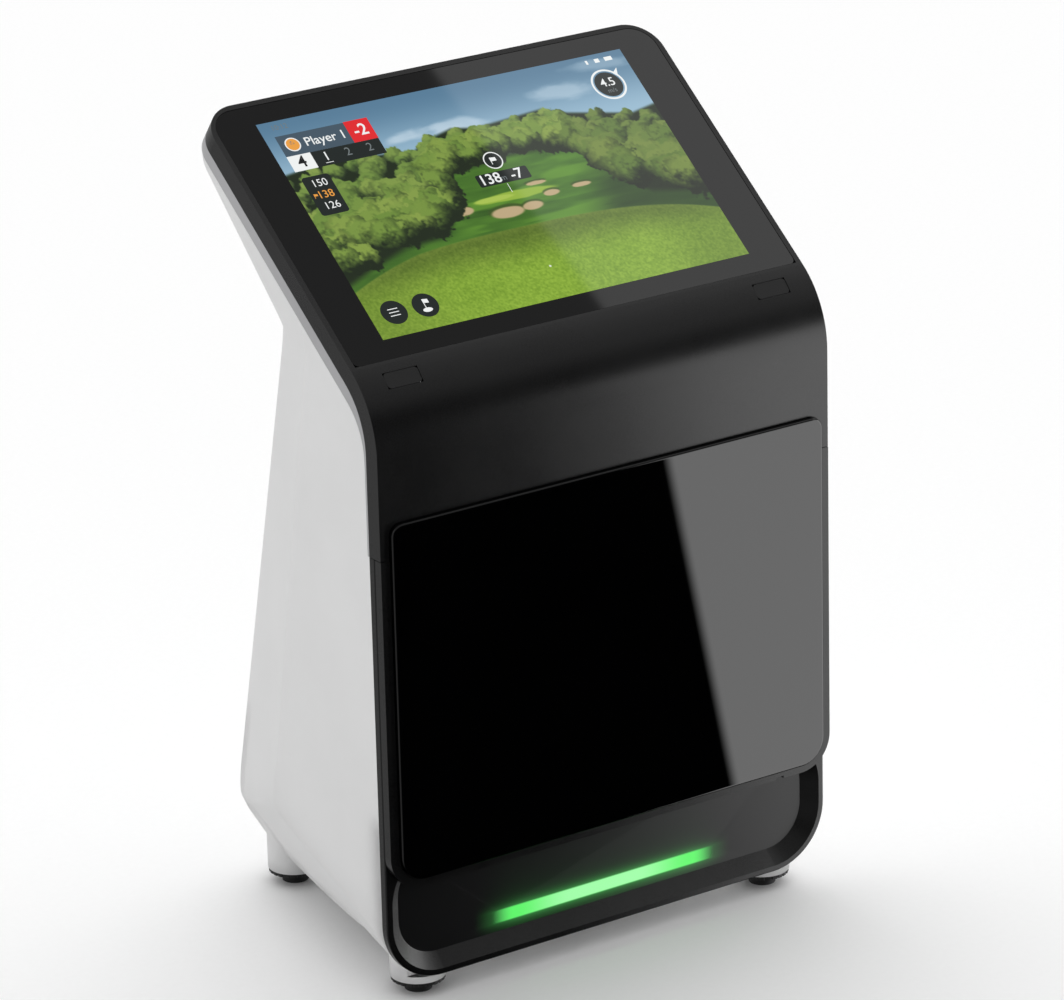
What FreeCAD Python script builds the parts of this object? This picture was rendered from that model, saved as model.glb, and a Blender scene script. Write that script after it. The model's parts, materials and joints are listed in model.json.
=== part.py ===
"""A free-standing launch monitor with a tilted touch display, as a parametric assembly.

X is the width, with the centre plane at 0. Y runs from the front to the back. Z is up, and the floor is at 0.
Design depths are measured from the face of the camera window, and every piece is then moved forward by half
the depth, so that the origin is under the middle of the object.
"""
import FreeCAD, Part
import Sketcher
import math
import os
import re

doc = FreeCAD.newDocument("launch_monitor")
sheet = doc.addObject("Spreadsheet::Sheet", "Sizes")

SIZES = {
    # whole object
    "body_width": 267,
    "body_depth": 201.28,
    "gap": 0.2,
    "slack": 0.1,
    "fit": 0.05,
    "over": 10,
    # display head: the front plane and the display plane meet in the fold
    "front_y": 3,
    "fold_z": 311.9,
    "fold_radius": 50,
    "tilt": 37.1,
    "skin": 9.6,
    "plate_length": 187.5,
    "head_corner": 18,
    "fascia_wall": 2.6,
    "fascia_side": 2.8,
    "seam_z": 236.5,
    # display
    "glass_width": 260.6,
    "glass_low": 26.7,
    "glass_high": 184.5,
    "glass_corner": 13,
    "glass_thick": 1.1,
    "glass_sink": 0.2,
    "panel_width": 228,
    "panel_height": 148,
    "panel_thick": 3.4,
    "panel_mid": 105.5,
    "bracket_thick": 1.2,
    # camera window and lower front
    "window_width": 256.4,
    "window_low": 68.9,
    "window_high": 254.2,
    "window_thick": 3.6,
    "window_top_corner": 6,
    "window_low_corner": 14,
    "window_edge": 1.4,
    "window_ledge": 9,
    "frame_y": 2.8,
    "frame_thick": 5,
    "frame_low": 64.5,
    "frame_corner": 18,
    "chin_y": 8,
    "chin_low": 11.5,
    "chin_corner": 32,
    "chin_rim": 3.3,
    "chin_slope": 7.3,
    "chin_depth": 6.5,
    "chin_skin": 4.6,
    "panel_plate": 2,
    "panel_margin": 9,
    "panel_rise": 7.5,
    "panel_corner": 26,
    "dish_margin": 3.6,
    "dish_corner": 34,
    "light_width": 133.2,
    "light_low": 26.2,
    "light_high": 33.3,
    # rear shell
    "shell_wall": 3,
    "shell_front": 14.1,
    "band_depth": 16,
    "band_radius": 34,
    "under_y": 50,
    "under_z": 21,
    "rear_foot_level_y": 214.3,
    "rear_lean": 17.3,
    "rear_low_z": 38,
    "rear_foot_y": 188,
    "rear_low_radius": 10,
    "head_end_depth": 17.8,
    "head_root_depth": 53.3,
    "head_root": 80,
    "column_reach": 147,
    "neck_radius": 60,
    "facet_foot_y": 123.5,
    "facet_turn": 22,
    "facet_lean": 10.4,
    "head_facet_turn": 22,
    "bevel_front_x": 129.3,
    "bevel_front_y": 13,
    "bevel_front_z": 29.3,
    "bevel_turn": 28.6,
    "bevel_skew": 21,
    "cut_reach": 400,
    # feet
    "foot_front_x": 106,
    "foot_front_y": 24.6,
    "foot_rear_x": 83,
    "foot_rear_y": 174,
    "boss_radius": 14,
    "boss_low": 7.6,
    "boss_high": 26,
    "boss_rear_high": 41,
    "boss_face_y": 16.8,
    "nut_low": 14,
    "nut_high": 10,
    "nut_radius": 7,
    "bore_radius": 4.4,
    "stud_radius": 4,
    "stud_top": 36,
    "stud_tip": 2,
    "neck_stud_radius": 3,
    "grip_radius": 0.7,
    "grip_reach": 13.85,
    "wheel_radius": 13.6,
    "wheel_low": 5.6,
    "wheel_high": 7.4,
    "pad_radius": 6.9,
    "pad_high": 5.4,
    # small front pieces
    "glass_low_corner": 3,
    "gasket_thick": 0.6,
    "bracket_top": 5,
    "bracket_width": 246,
    "bracket_height": 152,
    "cable_half": 14,
    "bracket_hole_in": 25,
    "bracket_hole_out": 85,
    "bracket_hole_rise": 5,
    "bracket_hole_high": 50,
    "corner_small": 4,
    "post_x": 118.6,
    "post_radius": 2.2,
    "pilot_radius": 1.2,
    "screw_radius": 1.15,
    "hole_radius": 1.5,
    "head_radius": 2.4,
    "head_high": 1.6,
    "stand_radius": 3,
    "plug_x": 109,
    "plug_width": 19.4,
    "plug_height": 8.2,
    "plug_thick": 2,
    "plug_sink": 0.25,
    "plug_angle": 42.4,
    "notch_x": 99.5,
    "notch_wide": 4.5,
    "notch_deep": 2.5,
    "notch_high": 1.3,
    "chin_top": 76,
    "chin_edge": 1.2,
    "front_seam": 0.3,
    "light_board_y": 20,
    "light_flange": 2,
    "light_flange_y": 18,
    "lamp_pitch": 10.5,
    "lamp_half": 1.5,
    "frame_post_x": 123.5,
    "frame_post_low": 100,
    "frame_post_high": 220,
    "frame_post_radius": 3.4,
    # grey frame between the front skin and the rear shell
    "mid_wall": 4,
    # base cover
    "base_half": 78,
    "base_front": 56,
    "base_back": 150,
    "base_cover": 1.4,
    "base_lip": 5,
    "base_screw_long": 7,
    "louvre_half": 40,
    "louvre_first": 70,
    "louvre_pitch": 8,
    "louvre_width": 3,
    # ports and power button
    "bay_half": 62,
    "bay_low": 98,
    "bay_high": 132,
    "bay_floor": 166,
    "bay_wall": 1.8,
    "bay_sink": 6,
    "port_board_z": 105.5,
    "port_mouth_y": 167.9,
    "port_back_y": 152,
    "hdmi_half": 7.5,
    "hdmi_tall": 5.6,
    "usb_half": 4.5,
    "usb_tall": 3.3,
    "can_wall": 0.4,
    "tongue_half": 0.5,
    "jack_half": 4.5,
    "jack_tall": 11,
    "jack_axis": 6,
    "jack_hole": 3.2,
    "jack_deep": 10,
    "board_back_y": 128,
    "board_front_y": 163.6,
    "ledge_half": 2,
    "ledge_back_y": 140,
    "ledge_high": 2.6,
    "hdmi_x": -34,
    "usb_x": -8,
    "jack_x": 16,
    "button_x": 46,
    "button_z": 115,
    "button_radius": 6,
    "button_fit": 0.1,
    "button_flange": 7.4,
    "button_proud": 2.5,
    "button_rim": 1.2,
    "button_board_half": 9,
    "button_board_back": 6.4,
    "switch_half": 3,
    "switch_back": 4.8,
    "switch_deep": 2.2,
    "peg_radius": 1.5,
    "peg_spot": 7.5,
    "peg_long": 5,
    # vents and speakers
    "vent_low": 252,
    "vent_high": 286,
    "vent_pitch": 9,
    "vent_width": 3.2,
    "speaker_x": 66,
    "speaker_z": 190,
    "speaker_y": 146,
    "speaker_post_long": 7,
    "speaker_half": 16,
    "speaker_deep": 20,
    "speaker_tall": 13,
    "speaker_ear": 8,
    "speaker_ear_half": 4,
    "speaker_plate": 2,
    "cone_radius": 11,
    "speaker_slot": 2,
    "speaker_pitch": 5,
    "speaker_slot_half": 14,
    # inside
    "board_thick": 1.6,
    "chassis_y": 50,
    "chassis_thick": 2,
    "chassis_half": 128,
    "chassis_low": 60,
    "chassis_high": 285,
    "rib_x": 112,
    "rib_half": 1,
    "rib_y": 30,
    "rib_short": 20,
    "frame_screw_long": 12,
    "board_screw_long": 6,
    "strap_screw_long": 5,
    "chassis_window": 12,
    "camera_half": 18,
    "camera_depth": 20,
    "lens_radius": 9,
    "lens_front_y": 11,
    "lens_seat": 5,
    "lens_rim": 1,
    "lens_core": 4,
    "lens_mouth": 3,
    "lamp_board_x": 100,
    "lamp_board_half": 9,
    "lamp_board_low": 88,
    "lamp_board_high": 178,
    "lamp_board_front": 24,
    "diode_radius": 2.5,
    "diode_first": 9,
    "diode_pitch": 12,
    "mainboard_y": 56,
    "mainboard_half": 95,
    "mainboard_low": 150,
    "mainboard_high": 280,
    "sink_x": -42,
    "sink_z": 215,
    "sink_half": 35,
    "chip_thick": 2.6,
    "sink_base": 4,
    "fin_deep": 20,
    "fin_pitch": 7.5,
    "fin_thick": 1.5,
    "fan_x": 46,
    "fan_z": 215,
    "fan_half": 30,
    "fan_y": 62,
    "fan_deep": 15,
    "fan_bore": 27.6,
    "fan_hub": 10,
    "blade_reach": 26.4,
    "fan_plate": 1.5,
    "fan_strut": 2,
    "fan_leg": 2,
    "axle_radius": 1.5,
    "blade_thick": 1.2,
    "battery_half": 70,
    "battery_low": 40,
    "battery_high": 108,
    "battery_y": 52.1,
    "battery_deep": 30,
    "strap_low": 66,
    "strap_high": 82,
    "strap_thick": 1.6,
    "strap_ear": 14,
    "strap_screw": 8,
    "battery_corner": 5,
    "antenna_low": 165,
    "antenna_high": 200,
    "antenna_front": 56,
    "antenna_back": 80,
    "antenna_thick": 1.2,
}


def write_sizes(sizes):
    """Fill the sheet with one name and one plain number on each row."""
    for row, (name, value) in enumerate(sizes.items(), start=1):
        sheet.set("A%d" % row, name)
        sheet.set("B%d" % row, str(value))
        sheet.setAlias("B%d" % row, name)
    doc.recompute()


write_sizes(SIZES)
ALIAS = re.compile(r"\b(%s)\b" % "|".join(SIZES))
parts = []
depth_of = {}

SIDES = (("left", "-1"), ("right", "1"))
FEET = (("front_left", "-foot_front_x", "foot_front_y", "boss_high"),
        ("front_right", "foot_front_x", "foot_front_y", "boss_high"),
        ("rear_left", "-foot_rear_x", "foot_rear_y", "boss_rear_high"),
        ("rear_right", "foot_rear_x", "foot_rear_y", "boss_rear_high"))
BASE_SCREWS = (("-1", "66"), ("1", "66"), ("-1", "138"), ("1", "138"))
FRAME_POSTS = (("-frame_post_x", "frame_post_low"), ("frame_post_x", "frame_post_low"),
               ("-frame_post_x", "frame_post_high"), ("frame_post_x", "frame_post_high"))
BOARD_SCREWS = (("-mainboard_half + 6", "mainboard_low + 6"), ("mainboard_half - 6", "mainboard_low + 6"),
                ("-mainboard_half + 6", "mainboard_high - 6"), ("mainboard_half - 6", "mainboard_high - 6"))
CHIPS = (("sink_x", "sink_z", "16", "16", "chip_thick"), ("-70", "165", "9", "7", "1.4"),
         ("-40", "165", "9", "7", "1.4"), ("10", "163", "14", "8", "1.6"), ("60", "165", "12", "6", "2"),
         ("fan_x", "fan_z", "12", "12", "1.6"), ("0", "268", "20", "5", "2.2"))
STRAP_SCREWS = (("-battery_half - strap_screw", "(strap_low + strap_high) / 2"),
                ("battery_half + strap_screw", "(strap_low + strap_high) / 2"))
CAMERAS = (("left", "-80", "215"), ("right", "80", "215"), ("center", "0", "110"))
FAN_BLADES = 7
BLADE_PITCH = 35
GRIPS = 24
FINS = 10
VENTS = 17
SPEAKER_SLOTS = 6
LOUVRES = 6
DIODES = 7
LAMPS = 6
START_REACH = 50
NEAR = 0.01
NORMAL = (0, -math.sin(math.radians(SIZES["tilt"])), math.cos(math.radians(SIZES["tilt"])))
DISPLAY_POSTS = (("-1", "60"), ("1", "60"), ("-1", "150"), ("1", "150"))


def bind(thing, prop, text):
    """Bind a property to a formula written in the sheet's own names."""
    thing.setExpression(prop, ALIAS.sub(r"Sizes.\1", str(text)))


def place(thing, x=0, y=0, z=0, axis=(1, 0, 0), angle=0):
    """Put a piece at design coordinates, turned about one axis through its own origin."""
    thing.Placement = FreeCAD.Placement(FreeCAD.Vector(), FreeCAD.Rotation(FreeCAD.Vector(*axis), 1))
    bind(thing, "Placement.Base.x", x)
    bind(thing, "Placement.Base.y", y)
    bind(thing, "Placement.Base.z", z)
    bind(thing, "Placement.Rotation.Angle", angle)
    depth_of[thing.Name] = y
    return thing


def part(label, thing):
    """Name a finished sub-part, and move it forward by half of the object's depth."""
    thing.Label = label
    bind(thing, "Placement.Base.y", "%s - body_depth / 2" % depth_of.get(thing.Name, 0))
    parts.append(thing)
    return thing


def box(name, x_span, y_span, z_span):
    """A Part box between two named places along each axis."""
    solid = doc.addObject("Part::Box", name)
    for prop, (low, high) in (("Length", x_span), ("Width", y_span), ("Height", z_span)):
        bind(solid, prop, "(%s) - (%s)" % (high, low))
    return place(solid, x_span[0], y_span[0], z_span[0])


TURNS = {"X": ((0, 1, 0), 90), "Y": ((1, 0, 0), -90), "Z": ((0, 0, 1), 0)}


def rod(name, radius, length, x=0, y=0, z=0, along="Z"):
    """A Part cylinder that starts at a place and runs along one axis."""
    solid = doc.addObject("Part::Cylinder", name)
    bind(solid, "Radius", radius)
    bind(solid, "Height", length)
    axis, angle = TURNS[along]
    return place(solid, x, y, z, axis, angle)


def fuse(name, *things):
    joined = doc.addObject("Part::MultiFuse", name)
    joined.Shapes = list(things)
    joined.Refine = True
    return joined


def cut(name, base, *tools):
    result = doc.addObject("Part::Cut", name)
    result.Base = base
    result.Tool = tools[0] if len(tools) == 1 else fuse(name + "_tools", *tools)
    result.Refine = True
    return result


def common(name, first, second):
    result = doc.addObject("Part::Common", name)
    result.Base = first
    result.Tool = second
    result.Refine = True
    return result


def new_body(name):
    return doc.addObject("PartDesign::Body", name)


def outline(body, role, points, depth=0):
    """A closed sketch of straight lines on an origin plane, each corner held by two bound distances."""
    sketch = body.newObject("Sketcher::SketchObject", body.Name + "_sketch")
    plane = next(item for item in body.Origin.OriginFeatures if item.Role == role)
    sketch.AttachmentSupport = [(plane, "")]
    sketch.MapMode = "FlatFace"
    bind(sketch, "AttachmentOffset.Base.z", depth)
    count = len(points)
    ring = []
    for i in range(count):
        turn = 2 * math.pi * i / count
        ring.append(FreeCAD.Vector(START_REACH * math.cos(turn), START_REACH * math.sin(turn), 0))
    for i in range(count):
        sketch.addGeometry(Part.LineSegment(ring[i], ring[(i + 1) % count]), False)
    for i in range(count):
        sketch.addConstraint(Sketcher.Constraint("Coincident", i, 2, (i + 1) % count, 1))
    for i, (across, up) in enumerate(points):
        for kind, text in (("DistanceX", across), ("DistanceY", up)):
            index = sketch.addConstraint(Sketcher.Constraint(kind, -1, 1, i, 1, 10.0 + i))
            bind(sketch, "Constraints[%d]" % index, text)
    return sketch


def pad(body, sketch, length, midplane=False):
    feature = body.newObject("PartDesign::Pad", body.Name + "_pad")
    feature.Profile = sketch
    feature.SideType = "Symmetric" if midplane else "One side"
    bind(feature, "Length", length)
    doc.recompute()
    return feature


def soften(body, kind, size, choose):
    """Fillet or chamfer every edge of the body's tip that the rule chooses."""
    doc.recompute()
    tip = body.Tip
    names = ["Edge%d" % n for n, edge in enumerate(tip.Shape.Edges, 1)
             if not edge.Degenerated and choose(edge)]
    if not names:
        raise ValueError("no edge to soften on " + body.Name)
    feature = body.newObject("PartDesign::" + kind, body.Name + "_" + kind.lower())
    feature.Base = (tip, names)
    bind(feature, "Radius" if kind == "Fillet" else "Size", size)
    doc.recompute()
    return feature


def runs(edge, direction):
    """Whether a straight edge lies along a direction."""
    if not isinstance(edge.Curve, Part.Line):
        return False
    return abs(edge.tangentAt(edge.FirstParameter).dot(FreeCAD.Vector(*direction).normalize())) > 0.999


def middle(edge):
    return edge.valueAt((edge.FirstParameter + edge.LastParameter) / 2)


def side_solid(name, points, width):
    """A solid with an outline in the side view, and its width centred on the object's centre plane."""
    body = new_body(name)
    pad(body, outline(body, "YZ_Plane", points), width, midplane=True)
    return body


def front_plate(name, points, y_front, thickness):
    """A plate with an outline in the front view, from its front face backwards."""
    body = new_body(name)
    sketch = outline(body, "XZ_Plane", points, "-(%s) - (%s)" % (y_front, thickness))
    pad(body, sketch, thickness)
    return body


def flat_plate(name, points, z_low, thickness):
    """A plate with an outline in the plan view, from its lower face upwards."""
    body = new_body(name)
    pad(body, outline(body, "XY_Plane", points, z_low), thickness)
    return body


def mirrored(points):
    """An outline from its right-hand points, listed in order, and their mirror images in reverse."""
    return points + [("-(%s)" % across, up) for across, up in reversed(points)]


def oblong(half_width, low, high):
    """The four corners of a rectangle that is centred across the object."""
    return [("-(%s)" % half_width, low), (half_width, low), (half_width, high), ("-(%s)" % half_width, high)]


def round_corners(body, direction, radius, low_only=None, split=0):
    """Round a plate's corners: all of them, or only those below or above a height."""
    def chosen(edge):
        if not runs(edge, direction):
            return False
        if low_only is None:
            return True
        height = middle(edge).z if direction[1] else middle(edge).y
        return (height < split) == low_only
    return soften(body, "Fillet", radius, chosen)


def on_display(thing):
    """Stand a piece, made flat with its top at 0, on the display plane."""
    return place(thing, 0, "front_y", "fold_z", (1, 0, 0), "tilt")


# ---------------------------------------------------------------- folded front skin

def fold_point(along, under):
    """Design depth and height of a place on the display plane, measured from the fold and under the plane."""
    return ("front_y + (%s) * cos(tilt) + (%s) * sin(tilt)" % (along, under),
            "fold_z + (%s) * sin(tilt) - (%s) * cos(tilt)" % (along, under))


def fold_corner(under_front, under_display):
    """Where a vertical plane behind the front meets a plane under the display."""
    slope = "(fold_z + (%s) * tan(tilt) - (%s) / cos(tilt))" % (under_front, under_display)
    return ("front_y + (%s)" % under_front, slope)


def fold_solid(name, low, end, outer, inner, width, radii):
    """A bent slab: two depths behind the front, two under the display, and its two fold radii."""
    points = [("front_y + (%s)" % outer[0], low), fold_corner(*outer), fold_point(end, outer[1]),
              fold_point(end, inner[1]), fold_corner(*inner), ("front_y + (%s)" % inner[0], low)]
    body = side_solid(name, points, width)
    for (front, display), radius in ((outer, radii[0]), (inner, radii[1])):
        soften(body, "Fillet", radius, at_corner(fold_corner(front, display)))
    return body


def at_corner(corner):
    """A rule that picks the crosswise edge at one corner of a side outline."""
    corner_y, corner_z = values(corner)

    def chosen(edge):
        spot = middle(edge)
        return runs(edge, (1, 0, 0)) and math.hypot(spot.y - corner_y, spot.z - corner_z) < 1
    return chosen


def values(pair):
    """The numbers that two formulas give, read back from a probe object's bound position."""
    probe = doc.addObject("Part::Vertex", "probe")
    bind(probe, "X", pair[0])
    bind(probe, "Y", pair[1])
    doc.recompute()
    result = (probe.X.Value, probe.Y.Value)
    doc.removeObject(probe.Name)
    return result


def head_edges(edge):
    """Whether an edge is one of the two upright corners at the display's far end."""
    return runs(edge, NORMAL) and middle(edge).z > SIZES["fold_z"] + SIZES["fold_radius"]


def make_upper_fascia():
    skin = fold_solid("fascia_skin", "seam_z", "plate_length", ("0", "0"), ("skin", "skin"), "body_width",
                      ("fold_radius", "fold_radius - skin"))
    soften(skin, "Fillet", "head_corner", head_edges)
    void = fold_solid("fascia_void", "seam_z - over", "plate_length - fascia_side", ("fascia_wall",
                                                                                     "fascia_wall"),
                      ("skin + 2 * over", "skin + 2 * over"), "body_width - 2 * fascia_side",
                      ("fold_radius - fascia_wall", "fold_radius - skin - 2 * over"))
    soften(void, "Fillet", "head_corner - fascia_side", head_edges)
    bare = cut("fascia_bare", skin, void, *fascia_openings())
    posts = []
    holes = []
    for number, (sign, along) in enumerate(DISPLAY_POSTS):
        spot = ("%s * post_x" % sign, along)
        posts.append(display_rod("display_post_%d" % number, "post_radius", spot, "-bracket_top",
                                 "bracket_top - 2"))
        holes.append(display_rod("display_pilot_%d" % number, "pilot_radius", spot, "-bracket_top - 1",
                                 "bracket_top - 1"))
    return part("upper_fascia", cut("fascia", fuse("fascia_posts", bare, *posts), *holes))


def fascia_openings():
    """The cutting pieces for the cover glass, the display, the camera window and the two plugs."""
    seat = flat_plate("glass_seat", oblong("glass_width / 2 + gap", "glass_low - gap", "glass_high + gap"),
                      "-glass_sink - glass_thick", "over")
    round_corners(seat, (0, 0, 1), "glass_corner + gap", False, SIZES["panel_mid"])
    opening = flat_plate("panel_opening", oblong("panel_width / 2 + 1", "panel_mid - panel_height / 2 - 1",
                                                 "panel_mid + panel_height / 2 + 1"), "-over", "2 * over")
    recess = window_recess("fascia_window_recess", "seam_z - over", "window_high + gap")
    round_corners(recess, (0, 1, 0), "window_top_corner + gap", False, SIZES["seam_z"])
    plug_holes = [at_plug(flat_plate("plug_hole_%s" % side, plug_outline("gap"), "-over / 2", "over"), sign)
                  for side, sign in SIDES]
    return [on_display(seat), on_display(opening), recess,
            window_opening("fascia_window_opening", "seam_z - over",
                           "window_high - window_ledge"), *plug_holes]


def window_recess(name, low, high):
    """The recess that the camera window and its gasket sit in."""
    return front_plate(name, oblong("window_width / 2 + gap", low, high), "-over",
                       "over + window_thick + gasket_thick")


def window_opening(name, low, high):
    """The opening behind the camera window, which leaves a ledge for the gasket."""
    return front_plate(name, oblong("window_width / 2 - window_ledge", low, high), "-over", "4 * over")


def display_rod(name, radius, spot, low, length):
    """A round piece that stands square to the display plane, at a place across and along it."""
    body = new_body(name)
    sketch = body.newObject("Sketcher::SketchObject", name + "_sketch")
    plane = next(item for item in body.Origin.OriginFeatures if item.Role == "XY_Plane")
    sketch.AttachmentSupport = [(plane, "")]
    sketch.MapMode = "FlatFace"
    bind(sketch, "AttachmentOffset.Base.z", low)
    sketch.addGeometry(Part.Circle(FreeCAD.Vector(START_REACH, START_REACH, 0), FreeCAD.Vector(0, 0, 1), 2),
                       False)
    for kind, text in (("DistanceX", spot[0]), ("DistanceY", spot[1])):
        index = sketch.addConstraint(Sketcher.Constraint(kind, -1, 1, 0, 3, 10.0))
        bind(sketch, "Constraints[%d]" % index, text)
    index = sketch.addConstraint(Sketcher.Constraint("Radius", 0, 1.0))
    bind(sketch, "Constraints[%d]" % index, radius)
    pad(body, sketch, length)
    return on_display(body)


def plug_outline(extra):
    return oblong("plug_width / 2 + %s" % extra, "-plug_height / 2 - %s" % extra,
                  "plug_height / 2 + %s" % extra)


def at_plug(thing, sign):
    """Stand a piece, made flat with its top at 0, on the round of the fold near one side."""
    centre_z = "fold_z - fold_radius * (1 - sin(tilt)) / cos(tilt)"
    return place(thing, "%s * plug_x" % sign,
                 "front_y + fold_radius - (fold_radius - plug_sink) * cos(plug_angle)",
                 centre_z + " + (fold_radius - plug_sink) * sin(plug_angle)", (1, 0, 0), "90 - plug_angle")


def make_display():
    glass = flat_plate("cover_glass", oblong("glass_width / 2", "glass_low", "glass_high"),
                       "-glass_sink - glass_thick", "glass_thick")
    round_corners(glass, (0, 0, 1), "glass_corner", False, SIZES["panel_mid"])
    round_corners(glass, (0, 0, 1), "glass_low_corner", True, SIZES["panel_mid"])
    part("display_cover_glass", on_display(glass))
    screen = flat_plate("screen", oblong("panel_width / 2", "panel_mid - panel_height / 2",
                                         "panel_mid + panel_height / 2"),
                        "-glass_sink - glass_thick - panel_thick", "panel_thick")
    part("display_panel", on_display(screen))
    tray = flat_plate("bracket_plate", oblong("bracket_width / 2", "panel_mid - bracket_height / 2",
                                              "panel_mid + bracket_height / 2"),
                      "-bracket_top - bracket_thick", "bracket_thick")
    round_corners(tray, (0, 0, 1), "corner_small")
    cable_slot = flat_plate("bracket_slot", oblong("cable_half", "panel_mid - 2 * over", "panel_mid - over"),
                            "-2 * over", "3 * over")
    low = "panel_mid + bracket_hole_rise"
    high = low + " + bracket_hole_high"
    lightening = []
    for side, sign in SIDES:
        near = "%s * bracket_hole_in" % sign
        far = "%s * bracket_hole_out" % sign
        lightening.append(flat_plate("bracket_hole_" + side, [(near, low), (far, low), (far, high),
                                                              (near, high)],
                                     "-2 * over", "3 * over"))
    holes = []
    screws = []
    for number, (sign, along) in enumerate(DISPLAY_POSTS):
        spot = ("%s * post_x" % sign, along)
        holes.append(display_rod("bracket_screw_hole_%d" % number, "hole_radius", spot, "-2 * over",
                                 "3 * over"))
        shank = display_rod("display_shank_%d" % number, "screw_radius", spot, "-bracket_top - bracket_thick",
                            "bracket_thick + 2")
        head = display_rod("display_head_%d" % number, "head_radius", spot,
                           "-bracket_top - bracket_thick - head_high", "head_high")
        screws += [shank, head]
    tools = [on_display(cable_slot)] + [on_display(hole) for hole in lightening] + holes
    part("display_bracket", cut("bracket", on_display(tray), *tools))
    part("display_screws", fuse("display_screw_set", *screws))


def make_plugs():
    for side, sign in SIDES:
        plug = flat_plate("plug_" + side, plug_outline("0"), "-plug_thick", "plug_thick")
        round_corners(plug, (0, 0, 1), "2")
        part("fascia_plug_" + side, at_plug(plug, sign))


def make_window():
    slab = front_plate("window_slab", oblong("window_width / 2", "window_low", "window_high"), "0",
                       "window_thick")
    half = (SIZES["window_low"] + SIZES["window_high"]) / 2
    round_corners(slab, (0, 1, 0), "window_top_corner", False, half)
    round_corners(slab, (0, 1, 0), "window_low_corner", True, half)
    soften(slab, "Fillet", "window_edge", lambda edge: abs(middle(edge).y) < NEAR)
    part("sensor_window", slab)
    outer = front_plate("gasket_outer", oblong("window_width / 2 - 1", "window_low + 1", "window_high - 1"),
                        "window_thick", "gasket_thick")
    round_corners(outer, (0, 1, 0), "window_low_corner - 1", True, half)
    round_corners(outer, (0, 1, 0), "window_top_corner", False, half)
    inner = front_plate("gasket_inner", oblong("window_width / 2 - 6", "window_low + 6", "window_high - 6"),
                        "window_thick - over", "2 * over")
    round_corners(inner, (0, 1, 0), "window_top_corner")
    part("window_gasket", cut("gasket", outer, inner))


def make_window_frame():
    plate = front_plate("frame_plate", oblong("body_width / 2", "frame_low", "seam_z - front_seam"),
                        "frame_y",
                        "frame_thick")
    half = (SIZES["window_low"] + SIZES["window_high"]) / 2
    round_corners(plate, (0, 1, 0), "frame_corner", True, half)
    recess = window_recess("frame_window_recess", "window_low - gap", "seam_z + 2 * over")
    round_corners(recess, (0, 1, 0), "window_low_corner + gap", True, half)
    opening = window_opening("frame_window_opening", "window_low + window_ledge", "seam_z + 2 * over")
    notch = box("frame_notch", ("notch_x", "notch_x + notch_wide"), ("frame_y - 1", "frame_y + notch_deep"),
                ("frame_low - 1", "frame_low + notch_high"))
    part("window_frame", cut("frame", plate, recess, opening, notch))


def rounded_outline(body, role, half_width, low, high, radius, depth):
    """A closed rectangle sketch with four arcs at its corners, centred across the object."""
    sketch = body.newObject("Sketcher::SketchObject", body.Name + "_sketch")
    plane = next(item for item in body.Origin.OriginFeatures if item.Role == role)
    sketch.AttachmentSupport = [(plane, "")]
    sketch.MapMode = "FlatFace"
    bind(sketch, "AttachmentOffset.Base.z", depth)
    half, bottom = values((half_width, low))
    top, round_radius = values((high, radius))
    arcs = []
    for turn, (x, y) in enumerate(((half, top), (-half, top), (-half, bottom), (half, bottom))):
        centre = FreeCAD.Vector(math.copysign(abs(x) - round_radius, x),
                                y - round_radius if turn < 2 else y + round_radius, 0)
        circle = Part.Circle(centre, FreeCAD.Vector(0, 0, 1), round_radius)
        arc = Part.ArcOfCircle(circle, turn * math.pi / 2, (turn + 1) * math.pi / 2)
        arcs.append(sketch.addGeometry(arc, False))
    lines = []
    for turn in range(4):
        start = sketch.Geometry[arcs[turn]].EndPoint
        end = sketch.Geometry[arcs[(turn + 1) % 4]].StartPoint
        lines.append(sketch.addGeometry(Part.LineSegment(start, end), False))
    for turn in range(4):
        sketch.addConstraint(Sketcher.Constraint("Tangent", arcs[turn], 2, lines[turn], 1))
        sketch.addConstraint(Sketcher.Constraint("Tangent", lines[turn], 2, arcs[(turn + 1) % 4], 1))
        index = sketch.addConstraint(Sketcher.Constraint("Radius", arcs[turn], round_radius))
        bind(sketch, "Constraints[%d]" % index, radius)
    for line, kind, distance, number, text in (
            (lines[0], "Horizontal", "DistanceY", top, high),
            (lines[1], "Vertical", "DistanceX", -half, "-(%s)" % half_width),
            (lines[2], "Horizontal", "DistanceY", bottom, low),
            (lines[3], "Vertical", "DistanceX", half, half_width)):
        sketch.addConstraint(Sketcher.Constraint(kind, line))
        index = sketch.addConstraint(Sketcher.Constraint(distance, -1, 1, line, 1, number))
        bind(sketch, "Constraints[%d]" % index, text)
    return sketch


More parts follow.
